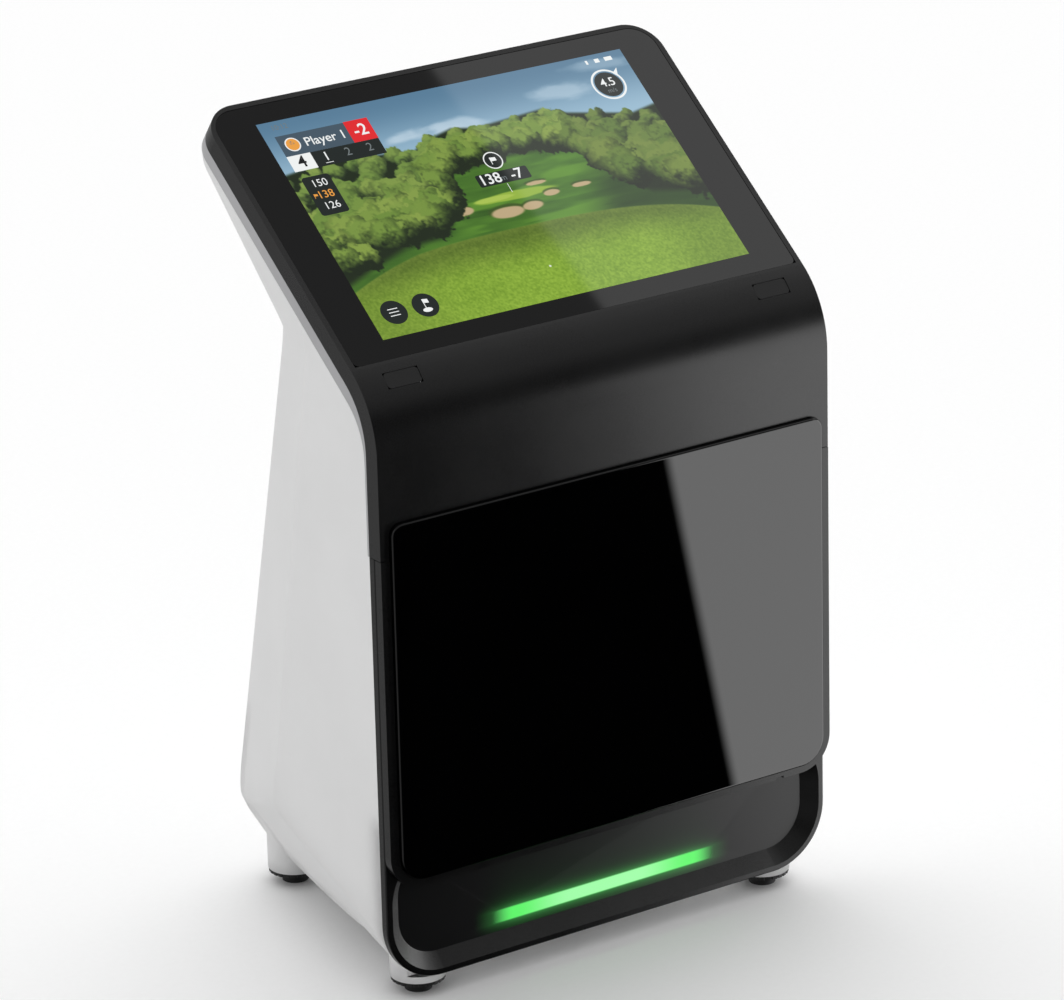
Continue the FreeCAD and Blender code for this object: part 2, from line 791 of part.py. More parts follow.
def make_lower_frame():
    half = SIZES["chin_top"]
    rim = front_plate("chin_rim_plate", oblong("body_width / 2", "chin_low", "seam_z - front_seam"), "chin_y",
                      "chin_skin")
    round_corners(rim, (0, 1, 0), "chin_corner", True, half)
    soften(rim, "Fillet", "chin_edge", lambda edge: abs(middle(edge).y - SIZES["chin_y"]) < NEAR)
    dish = front_plate("chin_dish", oblong("body_width / 2 - dish_margin", "chin_low + dish_margin + gap",
                                           "seam_z - front_seam"), "chin_y + chin_skin", "chin_depth - chin_skin")
    round_corners(dish, (0, 1, 0), "dish_corner", True, half)
    recess = new_body("chin_recess")
    sketch = rounded_outline(recess, "XZ_Plane", "body_width / 2 - chin_rim - chin_slope",
                             "chin_low + chin_rim + chin_slope", "chin_top", "chin_corner - chin_rim - chin_slope",
                             "-chin_y - chin_depth")
    flare = pad(recess, sketch, "chin_depth + 1")
    bind(flare, "TaperAngle", "atan(chin_slope / chin_depth)")
    opening = window_opening("chin_opening", "chin_top + window_low_corner", "seam_z + 2 * over")
    posts = [rod("frame_post_%d" % n, "frame_post_radius", "chassis_y - chin_y - chin_depth + 1 - fit", x,
                 "chin_y + chin_depth - 1", z, "Y") for n, (x, z) in enumerate(FRAME_POSTS)]
    pilots = [rod("frame_pilot_%d" % n, "pilot_radius", "frame_screw_long + 1", x,
                  "chassis_y - frame_screw_long", z, "Y") for n, (x, z) in enumerate(FRAME_POSTS)]
    part("lower_frame", cut("chin", fuse("chin_solid", rim, dish, *posts), recess, opening, *pilots))


def make_chin_panel():
    plate = front_plate("chin_plate", oblong("body_width / 2 - panel_margin", "chin_low + panel_rise",
                                             "chin_top + 8"), "chin_y + chin_depth + fit", "panel_plate")
    round_corners(plate, (0, 1, 0), "panel_corner", True, SIZES["light_high"])
    slot = front_plate("light_slot", oblong("light_width / 2 + slack", "light_low - slack",
                                            "light_high + slack"),
                       "chin_y", "over + panel_plate")
    round_corners(slot, (0, 1, 0), "(light_high - light_low) / 2")
    part("chin_panel", cut("chin_cover", plate, slot))


def make_light():
    """The translucent bar that shines through the lower front, and the board of lamps behind it."""
    face = "chin_y + chin_depth + slack"
    bar = front_plate("light_bar_front", oblong("light_width / 2", "light_low", "light_high"), face,
                      "panel_plate")
    round_corners(bar, (0, 1, 0), "(light_high - light_low) / 2 - slack")
    flange = box("light_bar_flange", ("-light_width / 2 - light_flange", "light_width / 2 + light_flange"),
                 (face + " + panel_plate", "light_flange_y"),
                 ("light_low - light_flange", "light_high + light_flange"))
    part("led_light_bar", fuse("light_bar", bar, flange))
    board = box("light_board_plate", ("-light_width / 2 - 2 * light_flange",
                                      "light_width / 2 + 2 * light_flange"),
                ("light_board_y", "light_board_y + board_thick"),
                ("light_low - 2 * light_flange", "light_high + 2 * light_flange"))
    middle_z = "(light_low + light_high) / 2"
    lamps = []
    for number in range(-LAMPS, LAMPS + 1):
        x = "%d * lamp_pitch" % number
        lamps.append(box("lamp_%d" % number, (x + " - lamp_half", x + " + lamp_half"),
                         ("light_board_y - 1", "light_board_y"),
                         (middle_z + " - lamp_half", middle_z + " + lamp_half")))
    part("led_board", fuse("light_board", board, *lamps))


def lean_back(body, outline_points, lean):
    """Raise an outline in the plan view along a line that leans forward."""
    rise = pad(body, outline(body, "XY_Plane", outline_points), "cut_reach")
    rise.UseCustomVector = True
    rise.Direction = FreeCAD.Vector(0, 0, 1)
    bind(rise, "Direction.y", "-tan(%s)" % lean)
    rise.AlongSketchNormal = True


def shell_tower(name, inset, half):
    """The leaning tower between the side walls, the rear wall and the two rear facets."""
    back = "(rear_foot_level_y - (%s) / cos(rear_lean))" % inset
    bend = "(facet_foot_y - (%s) * tan(facet_turn / 2))" % inset
    block = new_body(name + "_block")
    lean_back(block, mirrored([(half, "-cut_reach / 2"), (half, back)]), "rear_lean")
    facets = []
    for side, sign in SIDES:
        facet = new_body("%s_facet_%s" % (name, side))
        near = "%s * (%s)" % (sign, half)
        outside = "%s * (%s + cut_reach)" % (sign, half)
        inside = "%s * (%s - tan(facet_turn) * cut_reach / 2)" % (sign, half)
        lean_back(facet, [(near, bend), (outside, bend), (outside, bend + " + cut_reach / 2"),
                          (inside, bend + " + cut_reach / 2")], "facet_lean")
        facets.append(facet)
    return cut(name + "_tower", block, *facets)


def shell_side(name, inset, hollow):
    """The rear shell in the side view: underside, rear wall and the line under the display."""
    front = "front_y - shell_front" if hollow else "chin_y + chin_skin + slack"
    under = "band_depth - over" if hollow else "band_depth"
    profile = [(front, "chin_low + (%s)" % inset)]
    if hollow:
        profile.append((front, "fold_z"))
        profile.insert(0, ("chin_y + chin_skin + slack", "chin_low + (%s)" % inset))
    else:
        profile += [(front, "seam_z"), ("shell_front", "seam_z"),
                    ("shell_front", fold_corner("shell_front - front_y", "band_depth")[1])]
    profile += [("front_y + column_reach", "fold_z + column_reach * tan(tilt) - (%s) / cos(tilt)" % under),
                (rear_y("rear_low_z") + " - (%s)" % inset, "rear_low_z"),
                ("rear_foot_y - (%s) / 2" % inset, "under_z + (%s)" % inset),
                ("under_y", "under_z + (%s)" % inset)]
    side = side_solid(name + "_side", profile, "body_width - 2 * (%s)" % inset)

    def low_side_edge(edge):
        spot = middle(edge)
        return spot.z < SIZES["boss_high"] and abs(spot.x) > SIZES["base_half"]
    soften(side, "Fillet", "chin_corner - (%s)" % inset, low_side_edge)
    return side


def shell_bevels(name, inset):
    """Two blocks that bevel the lower sides, more towards the rear than at the front."""
    skew = math.radians(SIZES["bevel_skew"])
    slopes = []
    for side_name, sign in SIDES:
        slope = new_body("%s_bevel_%s" % (name, side_name))
        block = pad(slope, outline(slope, "YZ_Plane", oblong("cut_reach", "-cut_reach / 2", "cut_reach / 2")),
                    "cut_reach / 2")
        block.Reversed = sign == "-1"
        place(slope, "%s * (bevel_front_x - cos(bevel_turn) * (%s))" % (sign, inset),
              "bevel_front_y - sin(bevel_turn) * sin(bevel_skew) * (%s)" % inset,
              "bevel_front_z + sin(bevel_turn) * cos(bevel_skew) * (%s)" % inset,
              (0, math.cos(skew) * int(sign), math.sin(skew) * int(sign)), "bevel_turn")
        slopes.append(slope)
    return slopes


def shell_head(name, inset, half, hollow):
    """The part of the shell behind the display, thin at the top and deep at the neck."""
    near = "band_depth - over" if hollow else "band_depth"
    far = "head_root_depth + over"
    end = "plate_length - (%s)" % inset

    def across(under_display):
        return "(%s - ((%s) - band_depth) * tan(head_facet_turn))" % (half, under_display)
    block = front_plate(name + "_head_block",
                        mirrored([(across(near), "-(%s)" % near), (across(far), "-(%s)" % far)]),
                        "2 * over", "%s - 2 * over" % end)

    def far_corner(edge):
        spot = middle(edge)
        return spot.y > SIZES["head_root"] and abs(spot.x) > SIZES["base_half"] and not runs(edge, (0, 1, 0))
    soften(block, "Fillet", "head_corner - (%s)" % inset, far_corner)
    side = side_solid(name + "_head_side",
                      [fold_point("3 * over", near), fold_point(end, near),
                       fold_point(end, "head_end_depth - (%s)" % inset),
                       fold_point("head_root", "head_root_depth - (%s)" % inset)],
                      "body_width + 2 * over")
    return common(name + "_head", on_display(block), side)


def shell_form(name, inset):
    """The rear shell's outer form, or its hollow, drawn a wall inside it and open to the front."""
    hollow = inset != "0"
    half = "(body_width / 2 - (%s))" % inset
    core = common(name + "_core", shell_tower(name, inset, half), shell_side(name, inset, hollow))
    column = cut(name + "_column", core, *shell_bevels(name, inset))
    return fuse(name, column, shell_head(name, inset, half, hollow))


def make_mid_frame():
    front_corner = fold_corner("skin + slack", "skin + slack")
    rear_corner = fold_corner("shell_front - front_y - slack", "band_depth - slack")
    points = [("front_y + skin + slack", "seam_z + slack"), front_corner, fold_point("plate_length",
                                                                                     "skin + slack"),
              fold_point("plate_length", "band_depth - slack"), rear_corner, ("shell_front - slack",
                                                                              "seam_z + slack")]
    ring = side_solid("mid_ring", points, "body_width")
    soften(ring, "Fillet", "head_corner", head_edges)
    soften(ring, "Fillet", "fold_radius - skin - slack", at_corner(front_corner))
    soften(ring, "Fillet", "band_radius", at_corner(rear_corner))
    void = fold_solid("mid_void", "seam_z - over", "plate_length - mid_wall", ("over / 2", "over / 2"),
                      ("4 * over", "4 * over"), "body_width - 2 * mid_wall",
                      ("fold_radius - over / 2", "fold_radius - 4 * over"))
    soften(void, "Fillet", "head_corner - mid_wall", head_edges)
    part("mid_frame", cut("mid", ring, void))


def base_slab(name, inset, low, high):
    """A slab at the flat underside, drawn in from the base cover's outline by an inset."""
    half = "base_half - (%s)" % inset
    return box(name, ("-(%s)" % half, half), ("base_front + (%s)" % inset, "base_back - (%s)" % inset),
               ("under_z + " + low, "under_z + " + high))


def base_screw_rods(name, radius, low, high):
    """Four upright rods, one at each screw of the base cover, between two heights from the underside."""
    return [rod("%s_%d" % (name, number), radius, "%s - (%s)" % (high, low),
                "%s * (base_half - base_lip / 2)" % sign, depth, "under_z + " + low)
            for number, (sign, depth) in enumerate(BASE_SCREWS)]


def rear_y(height):
    """Design depth of the leaning rear wall's outer face at a height."""
    return "rear_foot_level_y - (%s) * tan(rear_lean)" % height


def slots(name, centre, count, pitch, width, low, high):
    """Upright slots through the rear wall, side by side about a centre."""
    depths = (rear_y(high) + " - 2 * shell_wall", rear_y(low) + " + shell_wall")
    cuts = []
    for number in range(count):
        shift = "(%s) + %s * (%s)" % (centre, number - (count - 1) / 2, pitch)
        sides = ("%s - (%s) / 2" % (shift, width), "%s + (%s) / 2" % (shift, width))
        cuts.append(box("%s_%d" % (name, number), sides, depths, (low, high)))
    return cuts


def within(spans, least=0):
    """A rule for edges: their middle lies in spans of |x|, y and z, and they are longer than a least length."""
    def chosen(edge):
        spot = middle(edge)
        place_in_spans = zip((abs(spot.x), spot.y, spot.z), spans)
        return edge.Length > least and all(low <= value < high for value, (low, high) in place_in_spans)
    return chosen


NECK_BACK = within(((0, 1), (100, 115), (325, 340)))
NECK_SIDES = within(((120, 130), (70, 95), (322, 335)))
FACET_ENDS = within(((105, 125), (130, 170), (50, 66)), 40)
REAR_LOW = within(((0, 100), (185, 205), (18, 45)))


def soft_skin(name, form):
    """The outer form with its neck, its rear lower edges and its front bend rounded."""
    skin = new_body(name)
    skin.BaseFeature = form
    soften(skin, "Fillet", "neck_radius", NECK_BACK)
    soften(skin, "Fillet", "neck_radius", NECK_SIDES)
    soften(skin, "Fillet", "rear_low_radius", lambda edge: FACET_ENDS(edge) or REAR_LOW(edge))
    soften(skin, "Fillet", "band_radius", at_corner(fold_corner("shell_front - front_y", "band_depth")))
    return skin


def foot_boss(name, x, y, high):
    """A boss under the shell for one foot. A front one stops behind the lower front panel."""
    boss = rod("boss_" + name, "boss_radius", "%s - boss_low" % high, x, y, "boss_low")
    if "rear" in name:
        return boss
    trim = box("boss_trim_" + name, (x + " - 2 * over", x + " + 2 * over"), ("-over", "boss_face_y"),
               ("chin_low - front_seam", "6 * over"))
    return cut("boss_cut_" + name, boss, trim)


def make_shell():
    skin = soft_skin("shell_skin", shell_form("shell_outer", "0"))
    hollow = cut("shell_hollow", skin, shell_form("shell_inner", "shell_wall"))
    bosses = [foot_boss(*foot) for foot in FEET]
    speaker_posts = [rod("speaker_post_%s_%s" % (side, end), "stand_radius", "speaker_post_long",
                         "%s * speaker_x + %s * (speaker_half + speaker_ear_half)" % (sign, way),
                         "speaker_y + slack", "speaker_z", "Y") for side, sign in SIDES for end, way in SIDES]
    footed = fuse("shell_footed", hollow, *bosses, *speaker_posts)
    tools = []
    for name, x, y, high in FEET:
        tools.append(rod("boss_bore_" + name, "bore_radius", "6 * over", x, y, "0"))
        tools.append(rod("boss_socket_" + name, "nut_radius + fit", "6 * over", x, y, "nut_low"))
    tools.append(base_slab("base_recess", "0", "-over", "base_cover + gap"))
    tools.append(base_slab("base_opening", "base_lip", "-over", "2 * over"))
    tools.append(box("bay_cut", ("-bay_half", "bay_half"), ("bay_floor - bay_sink", "body_depth + over"),
                     ("bay_low", "bay_high")))
    tools += base_screw_rods("base_pilot", "pilot_radius", "-over", "over + 2")
    tools += slots("vent", "0", VENTS, "vent_pitch", "vent_width", "vent_low", "vent_high")
    for side, sign in SIDES:
        tools += slots("speaker_slot_" + side, "%s * speaker_x" % sign, SPEAKER_SLOTS, "speaker_pitch",
                       "speaker_slot", "speaker_z - speaker_slot_half", "speaker_z + speaker_slot_half")
    part("rear_shell", cut("shell", footed, *tools))


def make_foot_nuts():
    nuts = []
    for name, x, y, high in FEET:
        blank = rod("nut_blank_" + name, "nut_radius", "nut_high", x, y, "nut_low + fit")
        bore = rod("nut_bore_" + name, "stud_radius + fit", "4 * over", x, y, "0")
        nuts.append(cut("nut_" + name, blank, bore))
    part("foot_nuts", fuse("nuts", *nuts))


def make_base():
    cover = base_slab("base_cover_plate", "gap", "slack", "base_cover + slack")
    louvres = []
    for number in range(LOUVRES):
        low = "louvre_first + %d * louvre_pitch" % number
        louvres.append(box("louvre_%d" % number, ("-louvre_half", "louvre_half"),
                           (low, low + " + louvre_width"),
                           ("over", "3 * over")))
    holes = base_screw_rods("base_hole", "hole_radius", "-over", "over")
    part("base_cover", cut("base", cover, *louvres, *holes))
    heads = base_screw_rods("base_head", "head_radius", "slack - head_high", "slack")
    shanks = base_screw_rods("base_shank", "screw_radius", "0", "base_screw_long")
    part("base_screws", fuse("base_screw_set", *heads, *shanks))


def make_feet():
    for name, x, y, high in FEET:
        shaft = rod("stud_" + name, "stud_radius", "stud_top - wheel_high", x, y, "wheel_high")
        neck = rod("stud_neck_" + name, "neck_stud_radius", "wheel_high - stud_tip", x, y, "stud_tip")
        part("foot_%s_stud" % name, fuse("stud_rod_" + name, shaft, neck))
        disc = rod("disc_" + name, "wheel_radius", "wheel_high - wheel_low - fit", x, y, "wheel_low")
        grips = []
        for number in range(GRIPS):
            turn = 360 * number / GRIPS
            grips.append(rod("grip_%s_%d" % (name, number), "grip_radius", "over",
                             "%s + grip_reach * cos(%s)" % (x, turn),
                             "%s + grip_reach * sin(%s)" % (y, turn), "wheel_low - 1"))
        hole = rod("disc_hole_" + name, "neck_stud_radius + fit", "2 * over", x, y, "0")
        part("foot_%s_wheel" % name, cut("wheel_" + name, disc, hole, *grips))
        puck = rod("puck_" + name, "pad_radius", "pad_high", x, y, "0")
        socket = rod("puck_socket_" + name, "neck_stud_radius + fit", "2 * over", x, y, "stud_tip - slack")
        part("foot_%s_pad" % name, cut("pad_" + name, puck, socket))


def port_socket(name, x, half, tall, top):
    """A metal port shell with its tongue, and the window it needs in the tray."""
    window = box(name + "_window", ("%s - %s - gap" % (x, half), "%s + %s + gap" % (x, half)),
                 ("port_back_y", "bay_floor + over"), (top + " - gap", "%s + %s + gap" % (top, tall)))
    can = box(name + "_can", ("%s - %s" % (x, half), "%s + %s" % (x, half)), ("port_back_y", "port_mouth_y"),
              (top, "%s + %s" % (top, tall)))
    mouth = box(name + "_mouth", ("%s - %s + can_wall" % (x, half), "%s + %s - can_wall" % (x, half)),
                ("port_back_y + 3", "port_mouth_y + over"),
                (top + " + can_wall", "%s + %s - can_wall" % (top, tall)))
    centre = "%s + %s / 2" % (top, tall)
    tongue = box(name + "_tongue", ("%s - %s * 0.7" % (x, half), "%s + %s * 0.7" % (x, half)),
                 ("port_back_y + 2", "port_mouth_y - 1"), (centre + " - tongue_half",
                                                           centre + " + tongue_half"))
    return fuse(name + "_socket", cut(name + "_shell", can, mouth), tongue), window


def power_jack(top):
    """The round power socket with its pin, and the window it needs in the tray."""
    window = box("jack_window", ("jack_x - jack_half - gap", "jack_x + jack_half + gap"),
                 ("port_back_y", "bay_floor + over"), (top + " - gap", top + " + jack_tall + gap"))
    block = box("jack_block", ("jack_x - jack_half", "jack_x + jack_half"), ("port_back_y", "port_mouth_y"),
                (top, top + " + jack_tall"))
    barrel = rod("jack_barrel", "jack_hole", "jack_deep + 2", "jack_x", "port_mouth_y - jack_deep",
                 top + " + jack_axis", "Y")
    pin = rod("jack_pin", "1", "jack_deep", "jack_x", "port_mouth_y - jack_deep - 1", top + " + jack_axis",
              "Y")
    return fuse("jack", cut("jack_body", block, barrel), pin), window


def make_ports():
    low = "bay_low + gap"
    high = "bay_high - gap"
    profile = [("bay_floor - bay_wall", low), (rear_y(low) + " - front_seam", low),
               (rear_y(high) + " - front_seam", high), ("bay_floor - bay_wall", high)]
    tray = side_solid("tray_block", profile, "2 * bay_half - 2 * gap")
    inside = box("tray_inside", ("-bay_half + bay_wall + gap", "bay_half - bay_wall - gap"),
                 ("bay_floor", "body_depth + over"), ("bay_low + bay_wall + gap",
                                                      "bay_high - bay_wall - gap"))
    top = "port_board_z + board_thick + slack"
    pairs = [port_socket("hdmi", "hdmi_x", "hdmi_half", "hdmi_tall", top),
             port_socket("usb", "usb_x", "usb_half", "usb_tall", top), power_jack(top)]
    sockets = [socket for socket, window in pairs]
    windows = [window for socket, window in pairs]
    windows.append(rod("button_window", "button_radius + button_fit", "2 * over", "button_x",
                       "bay_floor - over",
                       "button_z", "Y"))
    ledges = [box("tray_ledge_%d" % n, (x + " - ledge_half", x + " + ledge_half"),
                  ("ledge_back_y", "bay_floor - bay_wall + gap"),
                  ("port_board_z - ledge_high", "port_board_z - fit"))
              for n, x in enumerate(("hdmi_x - over", "jack_x + 8"))]
    pegs = [rod("button_peg_%d" % n, "peg_radius", "peg_long", "button_x + %s * peg_spot" % way,
                "bay_floor - bay_wall - peg_long + gap", "button_z + %s * peg_spot" % way, "Y")
            for n, way in enumerate(("-1", "1"))]
    part("port_tray", fuse("tray_whole", cut("tray", tray, inside, *windows), *ledges, *pegs))
    part("port_connectors", fuse("connectors", *sockets))
    part("port_board", box("port_plate", ("hdmi_x - 14", "jack_x + 12"), ("board_back_y", "board_front_y"),
                           ("port_board_z", "port_board_z + board_thick")))


def make_power_button():
    wall = "bay_floor - bay_wall"
    cap = rod("button_cap", "button_radius", "bay_wall + button_proud + gap", "button_x", wall + " - gap",
              "button_z", "Y")
    flange = rod("button_rim_disc", "button_flange", "button_rim", "button_x", wall + " - gap - button_rim",
                 "button_z", "Y")
    part("power_button", fuse("button", cap, flange))
    back = wall + " - button_board_back"
    plate = box("button_plate", ("button_x - button_board_half", "button_x + button_board_half"),
                (back, back + " + board_thick"), ("button_z - button_board_half",
                                                  "button_z + button_board_half"))
    switch = box("button_switch", ("button_x - switch_half", "button_x + switch_half"),
                 (wall + " - switch_back", wall + " - switch_back + switch_deep"),
                 ("button_z - switch_half", "button_z + switch_half"))
    part("power_button_board", fuse("button_board", plate, switch))


def screws_through(name, spots, face, length):
    """Screws with their heads on a face, one at each spot, pointing to the front."""
    made = []
    for number, (x, z) in enumerate(spots):
        made.append(rod("%s_head_%d" % (name, number), "head_radius", "head_high", x, face + " + fit", z,
                        "Y"))
        made.append(rod("%s_shank_%d" % (name, number), "screw_radius", length, x,
                        "%s - %s + slack" % (face, length), z, "Y"))
    return fuse(name + "_screw_set", *made)


def make_chassis():
    plate = box("chassis_sheet", ("-chassis_half", "chassis_half"), ("chassis_y",
                                                                     "chassis_y + chassis_thick"),
                ("chassis_low", "chassis_high"))
    ribs = [box("chassis_rib_%s" % side, ("%s * rib_x - rib_half" % sign, "%s * rib_x + rib_half" % sign),
                ("rib_y", "chassis_y"), ("chassis_low + rib_short", "chassis_high - rib_short"))
            for side, sign in SIDES]
    stands = [rod("board_stand_%d" % n, "stand_radius", "mainboard_y - chassis_y - chassis_thick - fit", x,
                  "chassis_y + chassis_thick", z, "Y") for n, (x, z) in enumerate(BOARD_SCREWS)]
    tools = [rod("chassis_hole_%d" % n, "hole_radius", "over", x, "chassis_y - over / 2", z, "Y")
             for n, (x, z) in enumerate(FRAME_POSTS)]
    tools += [rod("stand_hole_%d" % n, "pilot_radius", "2 * over", x, "chassis_y - over / 2", z, "Y")
              for n, (x, z) in enumerate(BOARD_SCREWS)]
    tools += [rod("strap_pilot_%d" % n, "pilot_radius", "over", x, "chassis_y - over / 2", z, "Y")
              for n, (x, z) in enumerate(STRAP_SCREWS)]
    tools += [box("chassis_window_%d" % n, (x + " - chassis_window", x + " + chassis_window"),
                  ("chassis_y - over / 2", "chassis_y + over / 2"),
                  (z + " - chassis_window", z + " + chassis_window")) for n, (name, x,
                                                                              z) in enumerate(CAMERAS)]
    part("chassis", cut("chassis_cut", fuse("chassis_solid", plate, *ribs, *stands), *tools))
    part("chassis_screws", screws_through("frame", FRAME_POSTS, "chassis_y + chassis_thick",
                                          "frame_screw_long"))


def make_mainboard():
    face = "mainboard_y + board_thick"
    board = box("mainboard_plate", ("-mainboard_half", "mainboard_half"), ("mainboard_y", face),
                ("mainboard_low", "mainboard_high"))
    chips = []
    for number, (x, z, wide, high, thick) in enumerate(CHIPS):
        chips.append(box("chip_%d" % number, ("%s - %s" % (x, wide), "%s + %s" % (x, wide)),
                         (face, "%s + %s" % (face, thick)), ("%s - %s" % (z, high), "%s + %s" % (z, high))))
    holes = [rod("board_hole_%d" % n, "hole_radius", "over", x, "mainboard_y - over / 2", z, "Y")
             for n, (x, z) in enumerate(BOARD_SCREWS)]
    part("mainboard", cut("mainboard_cut", fuse("mainboard_solid", board, *chips), *holes))
    part("board_screws", screws_through("board", BOARD_SCREWS, face, "board_screw_long"))


def make_heat_sink():
    foot = "mainboard_y + board_thick + chip_thick + fit"
    plate = box("sink_plate", ("sink_x - sink_half", "sink_x + sink_half"), (foot, foot + " + sink_base"),
                ("sink_z - sink_half", "sink_z + sink_half"))
    fins = []
    for number in range(FINS):
        near = "sink_x - sink_half + %d * fin_pitch" % number
        fins.append(box("fin_%d" % number, (near, near + " + fin_thick"),
                        (foot + " + sink_base", foot + " + sink_base + fin_deep"),
                        ("sink_z - sink_half", "sink_z + sink_half")))
    part("heat_sink", fuse("sink", plate, *fins))


def make_fan_housing():
    square = [("fan_x - fan_half", "fan_z - fan_half"), ("fan_x + fan_half", "fan_z - fan_half"),
              ("fan_x + fan_half", "fan_z + fan_half"), ("fan_x - fan_half", "fan_z + fan_half")]
    frame = front_plate("fan_frame", square, "fan_y", "fan_deep")
    round_corners(frame, (0, 1, 0), "corner_small")
    bore = rod("fan_bore_cut", "fan_bore", "fan_deep - fan_plate", "fan_x", "fan_y + fan_plate", "fan_z", "Y")
    mouth = rod("fan_grille_disc", "fan_bore - 1", "over", "fan_x", "fan_y - over / 2", "fan_z", "Y")
    seat = rod("fan_hub_seat", "fan_hub + 1", "2 * over", "fan_x", "fan_y - over", "fan_z", "Y")
    wide = ("fan_x - fan_half", "fan_x + fan_half")
    tall = ("fan_z - fan_half", "fan_z + fan_half")
    deep = ("fan_y - over", "fan_y + over")
    level = box("fan_strut_level", wide, deep, ("fan_z - fan_strut", "fan_z + fan_strut"))
    upright = box("fan_strut_upright", ("fan_x - fan_strut", "fan_x + fan_strut"), deep, tall)
    ring = cut("fan_ring", frame, bore, cut("fan_grille_cut", mouth, seat, level, upright))
    face = "mainboard_y + board_thick + slack"
    legs = [rod("fan_leg_%d" % n, "fan_leg", "fan_y - (%s)" % face,
                "fan_x + %s * (fan_half - corner_small)" % i,
                face, "fan_z + %s * (fan_half - corner_small)" % j, "Y")
            for n, (i, j) in enumerate((("-1", "-1"), ("1", "-1"), ("-1", "1"), ("1", "1")))]
    axle = rod("fan_axle", "axle_radius", "8", "fan_x", "fan_y + 1", "fan_z", "Y")
    part("fan_housing", fuse("fan_body", ring, axle, *legs))


def make_fan_impeller():
    """A hub with slanted blades, made at its own centre and then put on the axle."""
    hub = rod("impeller_hub", "fan_hub", "fan_deep - 4", along="Y")
    blades = []
    for number in range(FAN_BLADES):
        blade = doc.addObject("Part::Box", "blade_%d" % number)
        bind(blade, "Length", "blade_reach - fan_hub + 1")
        bind(blade, "Width", "fan_deep - 7")
        bind(blade, "Height", "blade_thick")
        turned = FreeCAD.Rotation(FreeCAD.Vector(0, 1, 0), 360 * number / FAN_BLADES)
        turned = turned.multiply(FreeCAD.Rotation(FreeCAD.Vector(1, 0, 0), BLADE_PITCH))
        corner = FreeCAD.Vector(SIZES["fan_hub"] - 1, (7 - SIZES["fan_deep"]) / 2, -SIZES["blade_thick"] / 2)
        middle_y = FreeCAD.Vector(0, (SIZES["fan_deep"] - 4) / 2, 0)
        blade.Placement = FreeCAD.Placement(turned.multVec(corner) + middle_y, turned)
        blades.append(blade)
    bore = rod("impeller_bore", "axle_radius + fit", "8", y="-1", along="Y")
    impeller = cut("impeller", fuse("impeller_solid", hub, *blades), bore)
    part("fan_impeller", place(impeller, "fan_x", "fan_y + 2.5", "fan_z"))


def make_battery():
    pack = front_plate("battery", oblong("battery_half", "battery_low", "battery_high"), "battery_y",
                       "battery_deep")
    round_corners(pack, (0, 1, 0), "battery_corner")
    part("battery_pack", pack)
    foot = "chassis_y + chassis_thick + fit"
    back = "battery_y + battery_deep + slack"
    strap = box("strap", ("-battery_half - slack - strap_thick", "battery_half + slack + strap_thick"),
                (foot, back + " + strap_thick"), ("strap_low", "strap_high"))
    ears = box("strap_ears", ("-battery_half - strap_ear", "battery_half + strap_ear"),
               (foot, foot + " + strap_thick"), ("strap_low", "strap_high"))
    inside = box("strap_inside", ("-battery_half - slack", "battery_half + slack"), ("chassis_y", back),
                 ("strap_low - over", "strap_high + over"))
    holes = [rod("strap_hole_%d" % n, "hole_radius", "over", x, "chassis_y", z, "Y")
             for n, (x, z) in enumerate(STRAP_SCREWS)]
    part("battery_bracket", cut("strap_cut", fuse("strap_solid", strap, ears), inside, *holes))
    part("battery_screws", screws_through("strap", STRAP_SCREWS, foot + " + strap_thick", "strap_screw_long"))


def make_cameras():
    for name, x, z in CAMERAS:
        body = box("camera_block_" + name, (x + " - camera_half", x + " + camera_half"),
                   ("chassis_y - camera_depth", "chassis_y - fit"), (z + " - camera_half",
                                                                     z + " + camera_half"))
        socket = rod("camera_socket_" + name, "lens_radius + fit", "lens_seat + 1", x,
                     "chassis_y - camera_depth - 1", z, "Y")
        part("camera_%s_body" % name, cut("camera_" + name, body, socket))
        barrel = rod("lens_barrel_" + name, "lens_radius",
                     "chassis_y - camera_depth + lens_seat - slack - lens_front_y", x, "lens_front_y", z, "Y")
        mouth = doc.addObject("Part::Cone", "lens_mouth_" + name)
        bind(mouth, "Radius1", "lens_radius - lens_rim")
        bind(mouth, "Radius2", "lens_radius - lens_core")
        bind(mouth, "Height", "lens_mouth")
        axis, angle = TURNS["Y"]
        place(mouth, x, "lens_front_y - %s" % NEAR, z, axis, angle)
        part("camera_%s_lens" % name, cut("lens_" + name, barrel, mouth))


def make_infrared_arrays():
    for side, sign in SIDES:
        x = "%s * lamp_board_x" % sign
        board = box("lamp_board_" + side, (x + " - lamp_board_half", x + " + lamp_board_half"),
                    ("lamp_board_front", "lamp_board_front + board_thick"), ("lamp_board_low",
                                                                             "lamp_board_high"))
        diodes = [rod("diode_%s_%d" % (side, n), "diode_radius", "3", x, "lamp_board_front - 3 + slack",
                      "lamp_board_low + diode_first + %d * diode_pitch" % n, "Y") for n in range(DIODES)]
        part("ir_array_" + side, fuse("lamp_array_" + side, board, *diodes))


